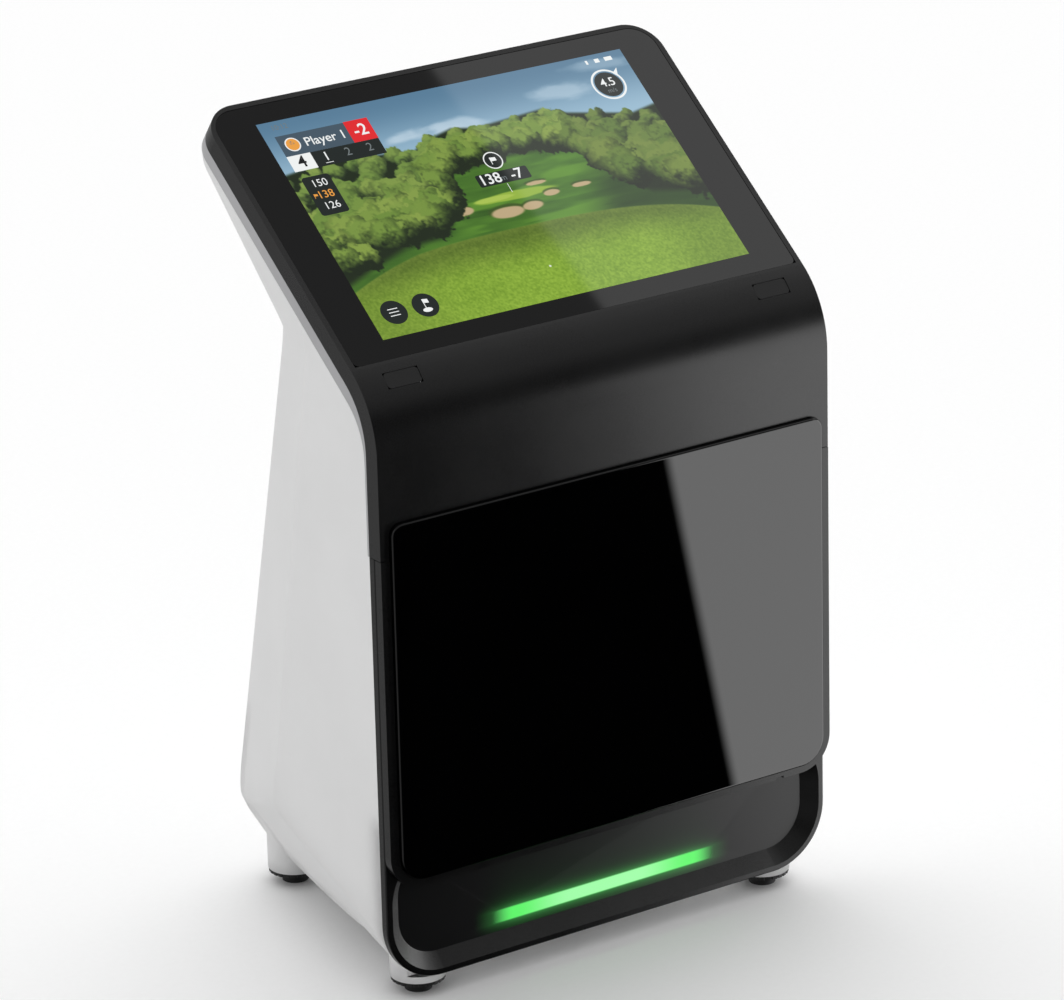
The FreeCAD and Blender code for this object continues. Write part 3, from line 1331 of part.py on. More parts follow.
def make_speakers():
    for side, sign in SIDES:
        x = "%s * speaker_x" % sign
        can = box("speaker_can_" + side, (x + " - speaker_half", x + " + speaker_half"),
                  ("speaker_y - speaker_deep", "speaker_y"), ("speaker_z - speaker_tall",
                                                              "speaker_z + speaker_tall"))
        ears = box("speaker_ears_" + side,
                   (x + " - speaker_half - speaker_ear", x + " + speaker_half + speaker_ear"),
                   ("speaker_y - speaker_plate", "speaker_y"),
                   ("speaker_z - speaker_ear_half", "speaker_z + speaker_ear_half"))
        cone = rod("speaker_cone_" + side, "cone_radius", "2 * speaker_plate", x, "speaker_y - speaker_plate",
                   "speaker_z", "Y")
        part("speaker_" + side, cut("speaker_cut_" + side, fuse("speaker_solid_" + side, can, ears), cone))


def make_antennas():
    for side, sign in SIDES:
        wall = "(body_width / 2 - shell_wall - slack)"
        near = "%s * %s" % (sign, wall)
        far = "%s * (%s - antenna_thick)" % (sign, wall)
        span = (near, far) if sign == "-1" else (far, near)
        part("antenna_" + side, box("antenna_plate_" + side, span, ("antenna_front", "antenna_back"),
                                    ("antenna_low", "antenna_high")))


make_upper_fascia()
make_display()
make_plugs()
make_window()
make_window_frame()
make_lower_frame()
make_chin_panel()
make_light()
make_mid_frame()
make_shell()
make_foot_nuts()
make_base()
make_feet()
make_ports()
make_power_button()
make_chassis()
make_mainboard()
make_heat_sink()
make_fan_housing()
make_fan_impeller()
make_battery()
make_cameras()
make_infrared_arrays()
make_speakers()
make_antennas()

doc.recompute()
problems = [thing.Name for thing in doc.Objects if {"Invalid", "Error"} & set(thing.State)]
problems += [thing.Label for thing in parts if thing.Shape.isNull() or not thing.Shape.isValid()]
if problems:
    raise RuntimeError("failed objects: " + ", ".join(problems))
os.makedirs("parts", exist_ok=True)
for thing in parts:
    thing.Shape.exportStep("parts/%s.step" % thing.Label)
    print(thing.Label, len(thing.Shape.Solids), round(thing.Shape.Volume), thing.Shape.BoundBox)
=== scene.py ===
"""Looks for the free-standing launch monitor: finishes for every CAD node, the lit display and the studio."""

import json
import math
import random
from types import SimpleNamespace

import bpy
import numpy as np
from mathutils import Matrix, Vector


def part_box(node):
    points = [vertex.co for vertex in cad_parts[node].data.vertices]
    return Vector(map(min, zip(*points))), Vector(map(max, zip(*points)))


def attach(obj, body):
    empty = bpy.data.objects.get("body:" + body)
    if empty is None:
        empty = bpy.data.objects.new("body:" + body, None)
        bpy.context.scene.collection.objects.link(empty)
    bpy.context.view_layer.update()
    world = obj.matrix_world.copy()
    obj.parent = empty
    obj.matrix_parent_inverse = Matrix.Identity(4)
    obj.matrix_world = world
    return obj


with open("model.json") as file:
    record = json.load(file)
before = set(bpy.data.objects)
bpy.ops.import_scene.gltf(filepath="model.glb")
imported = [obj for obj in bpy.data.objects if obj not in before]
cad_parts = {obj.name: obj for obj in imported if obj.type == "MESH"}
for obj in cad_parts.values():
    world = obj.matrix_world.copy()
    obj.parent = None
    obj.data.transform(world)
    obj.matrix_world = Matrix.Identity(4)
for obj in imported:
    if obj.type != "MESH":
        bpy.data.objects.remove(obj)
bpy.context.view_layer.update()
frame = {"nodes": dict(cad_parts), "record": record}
scene = bpy.context.scene
MM = 0.001


# ---------------------------------------------------------------- node helpers

def graph(owner):
    """An empty node tree on a material or a world."""
    owner.use_nodes = True
    owner.node_tree.nodes.clear()
    return owner.node_tree


def feed(tree, socket, value):
    """Link a socket to another one, or give it a plain value."""
    if isinstance(value, bpy.types.NodeSocket):
        tree.links.new(value, socket)
    else:
        socket.default_value = value


def add(tree, kind, settings=None, **inputs):
    """A shader node with its settings and its inputs, which go by name, or by number as i0, i1 and so on."""
    made = tree.nodes.new("ShaderNode" + kind)
    for name, value in (settings or {}).items():
        setattr(made, name, value)
    for name, value in inputs.items():
        numbered = name[0] == "i" and name[1:].isdigit()
        key = int(name[1:]) if numbered else name.replace("_", " ")
        feed(tree, made.inputs[key], value)
    return made


def math_node(tree, operation, *values):
    """The result of a sum on values or sockets."""
    made = add(tree, "Math", {"operation": operation})
    for socket, value in zip(made.inputs, values):
        feed(tree, socket, value)
    return made.outputs[0]


def spread(tree, value, low, high, to_low=0.0, to_high=1.0, smooth=False):
    """A value mapped from one range to another, clamped at both ends."""
    made = add(tree, "MapRange", {"interpolation_type": "SMOOTHSTEP" if smooth else "LINEAR"}, Value=value,
               From_Min=low, From_Max=high, To_Min=to_low, To_Max=to_high)
    return made.outputs["Result"]


# which of the Mix node's sockets hold its two sides and its result, for each kind of value
MIX_SOCKETS = {"FLOAT": (2, 3, 0), "VECTOR": (4, 5, 1), "RGBA": (6, 7, 2)}


def mix(tree, kind, factor, first, second, how="MIX"):
    """Two values of one kind, mixed by a factor."""
    made = add(tree, "Mix", {"data_type": kind, "blend_type": how})
    first_side, second_side, result = MIX_SOCKETS[kind]
    feed(tree, made.inputs[0], factor)
    feed(tree, made.inputs[first_side], first)
    feed(tree, made.inputs[second_side], second)
    return made.outputs[result]


def blend_color(tree, factor, first, second, how="MIX"):
    return mix(tree, "RGBA", factor, first, second, how)


def object_place(tree):
    """Where a point of the surface is, in metres in the shared frame."""
    return add(tree, "TexCoord").outputs["Object"]


def rgba(color, gain=1.0):
    return tuple(min(1.0, channel * gain) for channel in color[:3]) + (1.0,)


def close(tree, shader):
    add(tree, "OutputMaterial", Surface=shader.outputs[0])


# ---------------------------------------------------------------- finishes

def softened(tree, reach, low, high):
    """Faces whose edges look rounded below a height, and are left sharp above it."""
    rise = add(tree, "SeparateXYZ", Vector=object_place(tree)).outputs["Z"]
    rounded = add(tree, "Bevel", {"samples": 8}, Radius=reach).outputs[0]
    true_face = add(tree, "NewGeometry").outputs["Normal"]
    return mix(tree, "VECTOR", spread(tree, rise, low, high, 1.0, 0.0, True), true_face, rounded)


def moulded(name, color, rough, grain=0.4, depth=0.012, tone=0.04, specular=0.5, metal=0.0, streak=None,
            round_low=None):
    """A finish with a fine surface grain, and soft broad changes of tone and gloss.

    grain and depth are the grain's size and height in mm, tone is how far the colour strays, streak stretches
    the grain, and round_low is how far edges are softened and the heights where that starts to fade and ends.
    """
    material = bpy.data.materials.new(name)
    tree = graph(material)
    place = object_place(tree)
    if streak:
        place = add(tree, "Mapping", Vector=place, Scale=streak).outputs[0]
    fine = add(tree, "TexNoise", Vector=place, Scale=1 / (grain * MM), Detail=2.0, Roughness=0.6)
    fine = fine.outputs["Fac"]
    broad = add(tree, "TexNoise", Vector=place, Scale=22.0, Detail=4.0, Roughness=0.55).outputs["Fac"]
    shade = blend_color(tree, spread(tree, broad, 0.35, 0.65), rgba(color, 1 - tone), rgba(color, 1 + tone))
    speck = spread(tree, fine, 0.3, 0.7, 1 - tone / 2, 1 + tone / 2)
    flecks = add(tree, "CombineColor", Red=speck, Green=speck, Blue=speck).outputs[0]
    shade = blend_color(tree, 1.0, shade, flecks, "MULTIPLY")
    gloss = math_node(tree, "ADD", spread(tree, broad, 0.3, 0.7, rough * 0.93, rough * 1.07),
                      spread(tree, fine, 0.3, 0.7, -0.02, 0.02))
    relief = add(tree, "Bump", Height=fine, Strength=0.6, Distance=depth * MM)
    if round_low:
        feed(tree, relief.inputs["Normal"], softened(tree, *round_low))
    close(tree, add(tree, "BsdfPrincipled", Base_Color=shade, Roughness=gloss, Metallic=metal,
                    Normal=relief.outputs[0], Specular_IOR_Level=specular))
    return material


def circuit(name):
    """Green solder mask with copper tracks under it and tinned pads."""
    material = bpy.data.materials.new(name)
    tree = graph(material)
    place = object_place(tree)
    upright = add(tree, "Mapping", Vector=place, Rotation=(math.pi / 2, 0, 0)).outputs[0]
    cells = add(tree, "TexBrick", {"offset": 0.37}, Vector=upright, Scale=260.0, Mortar_Size=0.06,
                Color1=(0.014, 0.09, 0.035, 1), Color2=(0.02, 0.12, 0.045, 1), Mortar=(0.05, 0.2, 0.07, 1))
    dots = add(tree, "TexVoronoi", Vector=place, Scale=420.0)
    pads = spread(tree, dots.outputs["Distance"], 0.16, 0.2, 1.0, 0.0)
    tin = blend_color(tree, pads, cells.outputs["Color"], (0.62, 0.58, 0.5, 1))
    relief = add(tree, "Bump", Height=cells.outputs["Fac"], Strength=0.5, Distance=0.03 * MM)
    gloss = spread(tree, pads, 0.0, 1.0, 0.36, 0.25)
    close(tree, add(tree, "BsdfPrincipled", Base_Color=tin, Roughness=gloss, Metallic=pads,
                    Normal=relief.outputs[0]))
    return material


def gloss_black(name, rough, specular, smudge=0.02):
    """Polished black glass or plastic, with the faintest unevenness in its gloss."""
    material = bpy.data.materials.new(name)
    tree = graph(material)
    place = object_place(tree)
    haze = add(tree, "TexNoise", Vector=place, Scale=14.0, Detail=5.0, Roughness=0.6)
    gloss = spread(tree, haze.outputs["Fac"], 0.35, 0.7, rough, rough + smudge)
    tone = blend_color(tree, haze.outputs["Fac"], (0.0002, 0.0002, 0.0003, 1),
                       (0.0006, 0.0006, 0.0007, 1))
    wave = add(tree, "TexNoise", Vector=place, Scale=9.0, Detail=1.0)
    relief = add(tree, "Bump", Height=wave.outputs["Fac"], Strength=0.15, Distance=0.01 * MM)
    close(tree, add(tree, "BsdfPrincipled", Base_Color=tone, Roughness=gloss, Specular_IOR_Level=specular,
                    Normal=relief.outputs[0]))
    return material


# the lit bar: how far its light stops short of its ends, where its edge fades, and the halo round it, as
# a strength and a reach
LIT_INSET = 5 * MM
CORE_EDGE = (2.8 * MM, 3.7 * MM)
HALO_START = 3.4 * MM
NEAR_HALO = (0.19, 1.9 * MM)
FAR_HALO = (0.02, 9 * MM)


def bar_glow(tree, place):
    """How strongly the lit bar shows at a place on the lower front: its core, its middle and its halo."""
    low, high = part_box("led_light_bar")
    half = (high.x - low.x) / 2 - LIT_INSET
    spot = add(tree, "SeparateXYZ", Vector=place).outputs
    across = math_node(tree, "ABSOLUTE", spot["X"])
    up = math_node(tree, "ABSOLUTE", math_node(tree, "SUBTRACT", spot["Z"], (low.z + high.z) / 2))

    away = math_node(tree, "MAXIMUM", math_node(tree, "SUBTRACT", up, HALO_START), 0.0)

    def fade_out(start, end):
        return spread(tree, across, half + start * MM, half + end * MM, 1.0, 0.0, True)

    def halo(strength, reach):
        fall = math_node(tree, "POWER", math.e, math_node(tree, "MULTIPLY", away, -1 / reach))
        return math_node(tree, "MULTIPLY", fall, strength)

    core = math_node(tree, "MULTIPLY", spread(tree, up, *CORE_EDGE, 1.0, 0.0, True), fade_out(-9, 5))
    both = math_node(tree, "ADD", halo(*NEAR_HALO), halo(*FAR_HALO))
    return core, fade_out(-44, -10), math_node(tree, "MULTIPLY", both, fade_out(-14, 16))


def lit_lower_front(name, base, rough):
    """A smoked panel that the green bar shines through, palest in its middle and greener at its ends."""
    material = bpy.data.materials.new(name)
    tree = graph(material)
    place = object_place(tree)
    core, centre, halo = bar_glow(tree, place)
    hot = blend_color(tree, centre, (0.11, 0.9, 0.14, 1), (0.35, 0.97, 0.39, 1))
    shown = blend_color(tree, core, (0.15, 1.0, 0.2, 1), hot)
    outside = math_node(tree, "SUBTRACT", 1.0, core)
    power = math_node(tree, "ADD", core, math_node(tree, "MULTIPLY", halo, outside))
    fine = add(tree, "TexNoise", Vector=place, Scale=2600.0, Detail=2.0)
    relief = add(tree, "Bump", Height=fine.outputs["Fac"], Strength=0.5, Distance=0.008 * MM)
    tone = blend_color(tree, fine.outputs["Fac"], rgba(base, 0.9), rgba(base, 1.1))
    close(tree, add(tree, "BsdfPrincipled", Base_Color=tone, Roughness=rough, Normal=relief.outputs[0],
                    Emission_Color=shown, Emission_Strength=power, Specular_IOR_Level=0.35))
    return material


def knurled(name, color):
    """Moulded black plastic with fine upright ribs round it."""
    material = bpy.data.materials.new(name)
    tree = graph(material)
    place = object_place(tree)
    level = add(tree, "Mapping", Vector=place, Scale=(1, 1, 0)).outputs[0]
    ribs = add(tree, "TexWave", {"bands_direction": "DIAGONAL"}, Vector=level, Scale=700.0, Distortion=0.0)
    speck = add(tree, "TexNoise", Vector=place, Scale=1800.0, Detail=2.0)
    relief = add(tree, "Bump", Height=ribs.outputs["Fac"], Strength=0.6, Distance=0.1 * MM)
    tone = blend_color(tree, speck.outputs["Fac"], rgba(color, 0.8), rgba(color, 1.25))
    close(tree, add(tree, "BsdfPrincipled", Base_Color=tone, Roughness=0.5, Normal=relief.outputs[0]))
    return material


FINISHES = {
    "black_trim": lambda n: moulded(n, (0.0038, 0.0038, 0.004), 0.28, grain=0.22, depth=0.006, specular=0.4),
    "dark_panel": lambda n: lit_lower_front(n, (0.005, 0.005, 0.0055), 0.33),
    "cover_glass": lambda n: gloss_black(n, 0.012, 0.5, 0.01),
    "display_panel": lambda n: moulded(n, (0.01, 0.012, 0.016), 0.3, grain=0.3),
    "sheet_metal": lambda n: moulded(n, (0.62, 0.63, 0.64), 0.38, grain=0.5, metal=1.0, streak=(1, 1, 0.06)),
    "steel": lambda n: moulded(n, (0.55, 0.55, 0.56), 0.32, grain=0.3, metal=1.0),
    "soft_plug": lambda n: moulded(n, (0.0048, 0.0048, 0.005), 0.36, grain=0.3, depth=0.012, specular=0.4),
    "sensor_window": lambda n: gloss_black(n, 0.008, 0.5, 0.008),
    "gasket": lambda n: moulded(n, (0.01, 0.01, 0.01), 0.9, grain=0.6, depth=0.08),
    "light_bar": lambda n: lit_lower_front(n, (0.006, 0.008, 0.0065), 0.36),
    "circuit_board": circuit,
    "grey_frame": lambda n: moulded(n, (0.42, 0.42, 0.43), 0.42, grain=0.35, depth=0.01),
    "white_shell": lambda n: moulded(n, (0.8, 0.8, 0.8), 0.42, grain=0.45, depth=0.014, tone=0.012,
                                     round_low=(0.02, 0.09, 0.11)),
    "brass_insert": lambda n: moulded(n, (0.72, 0.5, 0.2), 0.3, grain=0.3, metal=1.0, streak=(1, 1, 6)),
    "connector_metal": lambda n: moulded(n, (0.7, 0.7, 0.72), 0.2, grain=0.3, metal=1.0),
    "button_grey": lambda n: moulded(n, (0.16, 0.16, 0.165), 0.4, grain=0.3),
    "heat_sink": lambda n: moulded(n, (0.16, 0.16, 0.17), 0.4, grain=0.4, metal=0.8, streak=(1, 1, 0.1)),
    "fan_black": lambda n: moulded(n, (0.02, 0.02, 0.021), 0.45, grain=0.5),
    "battery_wrap": lambda n: moulded(n, (0.02, 0.05, 0.12), 0.25, grain=2.5, depth=0.05, tone=0.15),
    "speaker_black": lambda n: moulded(n, (0.014, 0.014, 0.015), 0.6, grain=0.6, depth=0.03),
    "antenna": lambda n: moulded(n, (0.45, 0.22, 0.07), 0.35, grain=0.8, metal=0.6),
    "camera_body": lambda n: moulded(n, (0.03, 0.03, 0.032), 0.4, grain=0.3, metal=0.5),
    "lens": lambda n: gloss_black(n, 0.06, 0.8),
    "wheel_black": lambda n: knurled(n, (0.012, 0.012, 0.012)),
    "pad_rubber": lambda n: moulded(n, (0.012, 0.012, 0.012), 0.75, grain=0.7, depth=0.06, tone=0.12),
}


def dress_nodes():
    """Give every CAD node the finish of its material slot."""
    made = {}
    for entry in frame["record"]["subparts"]:
        slot = entry["material_slot"]
        if slot not in made:
            made[slot] = FINISHES[slot]("finish_" + slot)
        mesh = frame["nodes"][entry["node"]].data
        mesh.materials.clear()
        mesh.materials.append(made[slot])


# ---------------------------------------------------------------- display

def display_plane():
    """The cover glass's face as a matrix: X across, Y up the slope, Z out of it, the origin at its middle."""
    mesh = frame["nodes"]["display_cover_glass"].data
    faces = [face for face in mesh.polygons if face.normal.z > 0.5 and face.normal.y < -0.3]
    total = sum(face.area for face in faces)
    normal = sum((face.normal * face.area for face in faces), Vector()).normalized()
    level = sum(normal.dot(face.center) * face.area for face in faces) / total
    along = Vector((0, normal.z, -normal.y))
    heights = [along.dot(vertex.co) for vertex in mesh.vertices]
    origin = along * ((min(heights) + max(heights)) / 2) + normal * level
    return Matrix((
        (1, 0, 0, 0),
        (0, along.y, normal.y, origin.y),
        (0, along.z, normal.z, origin.z),
        (0, 0, 0, 1)))


SCREEN_WIDE = 216.6 * MM
SCREEN_TALL = 135.4 * MM
ASPECT = 1.6
SCREEN = display_plane()


def on_screen(u, v, lift):
    """The place on the display at a share of its width and of its height from the top."""
    return SCREEN @ Vector(((u - 0.5) * SCREEN_WIDE, (0.5 - v) * SCREEN_TALL, lift))


# ---------------------------------------------------------------- the golf hole on the display

# the share of the noise grid that a picture fills, so that a stretched one stays mostly inside it
GRID_FILL = 0.62
# places are shares of the picture's width and, downwards, of its height; colours are out of 255
CLOUDS = ((0.35, 0.19, 0.13, 0.035, 0.8), (0.47, 0.18, 0.09, 0.03, 0.7), (0.8, 0.13, 0.09, 0.04, 0.55),
          (0.93, 0.04, 0.09, 0.03, 0.4))
BUNKERS = ((0.365, 0.552, 0.033, 0.022), (0.475, 0.596, 0.05, 0.028), (0.545, 0.59, 0.032, 0.021),
           (0.61, 0.553, 0.024, 0.015), (0.585, 0.498, 0.03, 0.009), (0.695, 0.546, 0.03, 0.012))
TREE_TOPS = ((0, 0.22), (0.1, 0.2), (0.27, 0.22), (0.33, 0.24), (0.38, 0.2), (0.46, 0.17), (0.52, 0.19),
             (0.62, 0.18), (0.71, 0.17), (0.77, 0.21), (0.85, 0.24), (0.93, 0.27), (1, 0.25))
TREE_FEET = ((0, 0.77), (0.08, 0.72), (0.18, 0.67), (0.3, 0.655), (0.335, 0.6), (0.35, 0.45), (0.4, 0.4),
             (0.55, 0.375), (0.7, 0.385), (0.76, 0.45), (0.8, 0.58), (0.86, 0.66), (1, 0.71))
TREE_COUNT = 300
LEAF_DARK = (20, 34, 12)
LEAF_BRIGHT = ((140, 164, 72), (82, 122, 42))
TREE_HAZE = (112, 138, 110)


class Noise:
    """Smooth noise on the picture: random values on a grid, joined by eased steps, added over octaves."""

    def __init__(self, seed):
        self.draw = np.random.RandomState(seed)

    def layer(self, u, v, cells):
        grid = self.draw.rand(int(cells) + 3, int(cells * ASPECT) + 3)
        x = u * cells * ASPECT * GRID_FILL
        y = v * cells * GRID_FILL
        x0 = np.floor(x).astype(int) % (grid.shape[1] - 1)
        y0 = np.floor(y).astype(int) % (grid.shape[0] - 1)
        fx = ease(x - np.floor(x), 0, 1)
        fy = ease(y - np.floor(y), 0, 1)
        top = grid[y0, x0] * (1 - fx) + grid[y0, x0 + 1] * fx
        low = grid[y0 + 1, x0] * (1 - fx) + grid[y0 + 1, x0 + 1] * fx
        return top * (1 - fy) + low * fy

    def octaves(self, u, v, cells, count=4):
        total = 0
        weight = 0
        for step in range(count):
            share = 0.5 ** step
            total = total + share * self.layer(u, v, cells * 2 ** step)
            weight += share
        return total / weight


def ease(value, low, high):
    """How far a value is between two others, from 0 to 1, with soft ends."""
    t = np.clip((value - low) / (high - low), 0, 1)
    return t * t * (3 - 2 * t)


def tint(*channels):
    return np.array(channels, float) / 255


def along_line(knots, at):
    """The height of a line through a few points, at a place across the picture."""
    return np.interp(at, [knot[0] for knot in knots], [knot[1] for knot in knots])


class Course:
    """A plain golf hole, painted from the sky forwards at places u across and v down the picture."""

    def __init__(self, u, v):
        self.u = u
        self.v = v
        self.noise = Noise(11)
        self.picture = np.zeros(u.shape + (3,))

    def lay(self, mask, color):
        mask = mask[..., None]
        self.picture = self.picture * (1 - mask) + color * mask

    def lay_oval(self, strength, spot, color, soft=0.25, wobble=0.25):
        """An oval patch: its middle and half sizes, with an uneven edge."""
        middle_u, middle_v, half_u, half_v = spot
        reach = np.hypot((self.u - middle_u) / half_u, (self.v - middle_v) / half_v)
        reach = reach + wobble * (self.noise.octaves(self.u, self.v, 26, 2) - 0.5)
        self.lay(strength * (1 - ease(reach, 1 - soft, 1)), color)

    def paint_sky(self):
        height = ease(self.v, 0.0, 0.3)[..., None]
        self.picture = tint(84, 122, 150) * (1 - height) + tint(150, 184, 206) * height
        cloud = self.noise.octaves(self.u * 0.9, self.v * 2.4, 9, 5)
        for middle_u, middle_v, half_u, half_v, weight in CLOUDS:
            reach = np.hypot((self.u - middle_u) / half_u, (self.v - middle_v) / half_v)
            self.lay(weight * (1 - ease(reach + 2.2 * (cloud - 0.5), 0.2, 1.0)), tint(190, 210, 224))

    def paint_far_ground(self):
        u, v = self.u, self.v
        rough_ground = self.noise.octaves(u * 0.6, v * 3.2, 12, 4)[..., None]
        ground = tint(38, 74, 20) * (1 - rough_ground) + tint(92, 142, 44) * rough_ground
        self.lay(ease(v, 0.34, 0.36), ground)
        sunlit = ease(self.noise.octaves(u * 0.5, v * 3.0, 9, 3), 0.5, 0.7)
        self.lay(0.75 * sunlit * ease(v, 0.38, 0.42) * ease(u, 0.3, 0.4), tint(100, 150, 46))
        self.lay(0.7 * ease(u + 0.25 * v, 0.8, 0.95) * ease(v, 0.4, 0.5), tint(30, 52, 22))

    def paint_green(self):
        self.lay_oval(1.0, (0.52, 0.53, 0.125, 0.022), tint(146, 178, 62))
        self.lay_oval(0.8, (0.46, 0.528, 0.06, 0.012), tint(172, 196, 84))
        for middle_u, middle_v, half_u, half_v in BUNKERS:
            self.lay_oval(0.8, (middle_u, middle_v - 0.007, half_u * 1.08, half_v * 1.1), tint(56, 78, 28))
            self.lay_oval(1.0, (middle_u, middle_v, half_u, half_v), tint(188, 166, 128))

    def plant(self):
        """Where each tree's crown is, how big it is and how green: the far ones first."""
        draw = random.Random(5)
        crowns = []
        for _ in range(TREE_COUNT):
            at = draw.uniform(-0.03, 1.03)
            top, foot = along_line(TREE_TOPS, at), along_line(TREE_FEET, at)
            depth = foot - top
            nearness = draw.random() ** 0.85
            size = (0.026 + 0.036 * nearness) * (0.55 + 0.45 * min(1, depth / 0.4)) * draw.uniform(0.75, 1.25)
            down = top + 1.15 * size + nearness * max(0.015, depth - 2.6 * size)
            crowns.append((down, at, size, draw.random(), nearness))
        return sorted(crowns)

    def paint_trees(self):
        u, v = self.u, self.v
        crowns = self.plant()
        clump = self.noise.octaves(u * 1.1, v * 1.1, 34, 3)
        leaf = self.noise.octaves(u * 1.6, v * 1.6, 90, 2)
        below_tops = ease(v - along_line(TREE_TOPS, u), 0.01, 0.03)
        self.lay(below_tops * (1 - ease(v - along_line(TREE_FEET, u), -0.04, 0.0)), tint(22, 36, 14))
        for crown in crowns:
            self.paint_crown(crown, clump, leaf)

    def paint_crown(self, crown, clump, leaf):
        """One crown: lit from above and the left, with gaps in it and a dark, uneven edge."""
        down, at, size, mood, nearness = crown
        rows, columns = self.u.shape
        left, right = int((at - size * 1.4) * columns), int((at + size * 1.4) * columns) + 2
        high, low = int((down - size * 2.3) * rows), int((down + size * 2.3) * rows) + 2
        left, high = max(left, 0), max(high, 0)
        if left >= min(right, columns) or high >= min(low, rows):
            return
        area = (slice(high, min(low, rows)), slice(left, min(right, columns)))
        across = (self.u[area] - at) / size
        up = (self.v[area] - down) / (size * 1.5)
        reach = np.hypot(across, up) + 0.9 * (clump[area] - 0.5) + 0.3 * (leaf[area] - 0.5)
        mask = (1 - ease(reach, 0.82, 0.96))[..., None]
        light = 0.54 - 0.85 * up - 0.22 * across + 1.2 * (clump[area] - 0.5) + 0.6 * (leaf[area] - 0.5)
        light = np.clip(light - 0.3 * ease(reach, 0.6, 0.95), 0, 1)[..., None] ** 1.2
        bright = tint(*LEAF_BRIGHT[0]) * (1 - mood * 0.5) + tint(*LEAF_BRIGHT[1]) * mood * 0.5
        haze = 0.14 * (1 - nearness)
        color = (tint(*LEAF_DARK) * (1 - light) + bright * light) * (1 - haze) + tint(*TREE_HAZE) * haze
        color = color * (0.96 if at < 0.75 else 0.84)
        self.picture[area] = self.picture[area] * (1 - mask) + color * mask

    def paint_fairway(self):
        u, v = self.u, self.v
        edge = 0.668 + 0.10 * np.abs(2 * u - 0.98) ** 3 + 0.12 * np.clip(0.2 - u, 0, 1)
        blades = self.noise.octaves(u * 1.5, v * 1.5, 150, 2)
        mown = self.noise.octaves(u, v, 9, 3)
        grass = (0.62 * blades + 0.38 * mown)[..., None]
        shade = (0.65 + 0.35 * ease(v, 0.66, 0.86)) / 0.92
        middle = 0.9 + 0.16 * ease(0.5 - np.abs(u - 0.5), 0.02, 0.3)
        near = (tint(84, 116, 26) * (1 - grass) + tint(142, 172, 62) * grass) * (middle * shade)[..., None]
        self.lay(ease(v - edge, -0.003, 0.004), near)
        rim = ease(v - edge, -0.004, 0.002) * (1 - ease(v - edge, 0.002, 0.03))
        self.lay(0.14 * rim, tint(176, 196, 90))

    def paint_ball(self):
        reach = np.hypot((self.u - 0.497) * ASPECT, self.v - 0.858)
        self.lay(1 - ease(reach, 0.003, 0.0055), tint(240, 244, 240))

    def paint(self):
        self.paint_sky()
        self.paint_far_ground()
        self.paint_green()
        self.paint_trees()
        self.paint_fairway()
        self.paint_ball()
        return np.clip(self.picture, 0, 1)


# ---------------------------------------------------------------- display pieces

def linear(color):
    """A colour as shown on a screen, turned into the strength of its light."""
    color = np.asarray(color, float)
    return np.where(color <= 0.04045, color / 12.92, ((color + 0.055) / 1.055) ** 2.4)


def screen_material(name, color=None):
    """What the lit display shows, under the same gloss as the cover glass."""
    material = bpy.data.materials.new(name)
    tree = graph(material)
    if color is None:
        shown = add(tree, "Attribute", {"attribute_name": "picture"}).outputs["Color"]
    else:
        grid = add(tree, "TexNoise", Vector=object_place(tree), Scale=4000.0)
        shown = blend_color(tree, grid.outputs["Fac"], rgba(color, 0.97), rgba(color, 1.03))
    haze = add(tree, "TexNoise", Vector=object_place(tree), Scale=14.0, Detail=5.0, Roughness=0.6)
    close(tree, add(tree, "BsdfPrincipled", Base_Color=(0.0005, 0.0005, 0.0005, 1),
                    Roughness=spread(tree, haze.outputs["Fac"], 0.35, 0.7, 0.012, 0.022),
                    Emission_Color=shown, Emission_Strength=1.0))
    return material


def add_piece(name, mesh, material):
    piece = bpy.data.objects.new(name, mesh)
    scene.collection.objects.link(piece)
    mesh.materials.clear()
    mesh.materials.append(material)
    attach(piece, "housing")
    return piece


def make_picture():
    """The display's picture: a fine sheet just above the glass, coloured point by point."""
    columns, rows = 560, 350
    u, v = np.meshgrid(np.linspace(0, 1, columns), np.linspace(0, 1, rows))
    color = linear(Course(u, v).paint())
    points = np.array([on_screen(a, b, 0.03 * MM) for a, b in ((0, 0), (1, 0), (0, 1))])
    spots = (points[0] + u[..., None] * (points[1] - points[0]) + v[..., None] * (points[2] - points[0]))
    index = np.arange(rows * columns).reshape(rows, columns)
    quads = np.stack((index[:-1, :-1], index[1:, :-1], index[1:, 1:], index[:-1, 1:]), -1).reshape(-1, 4)
    mesh = bpy.data.meshes.new("screen_picture")
    mesh.from_pydata(spots.reshape(-1, 3).tolist(), [], quads.tolist())
    layer = mesh.color_attributes.new("picture", "FLOAT_COLOR", "POINT")
    layer.data.foreach_set("color", np.concatenate((color, np.ones(color.shape[:2] + (1,))), -1).ravel())
    add_piece("screen_picture", mesh, screen_material("lit_picture"))


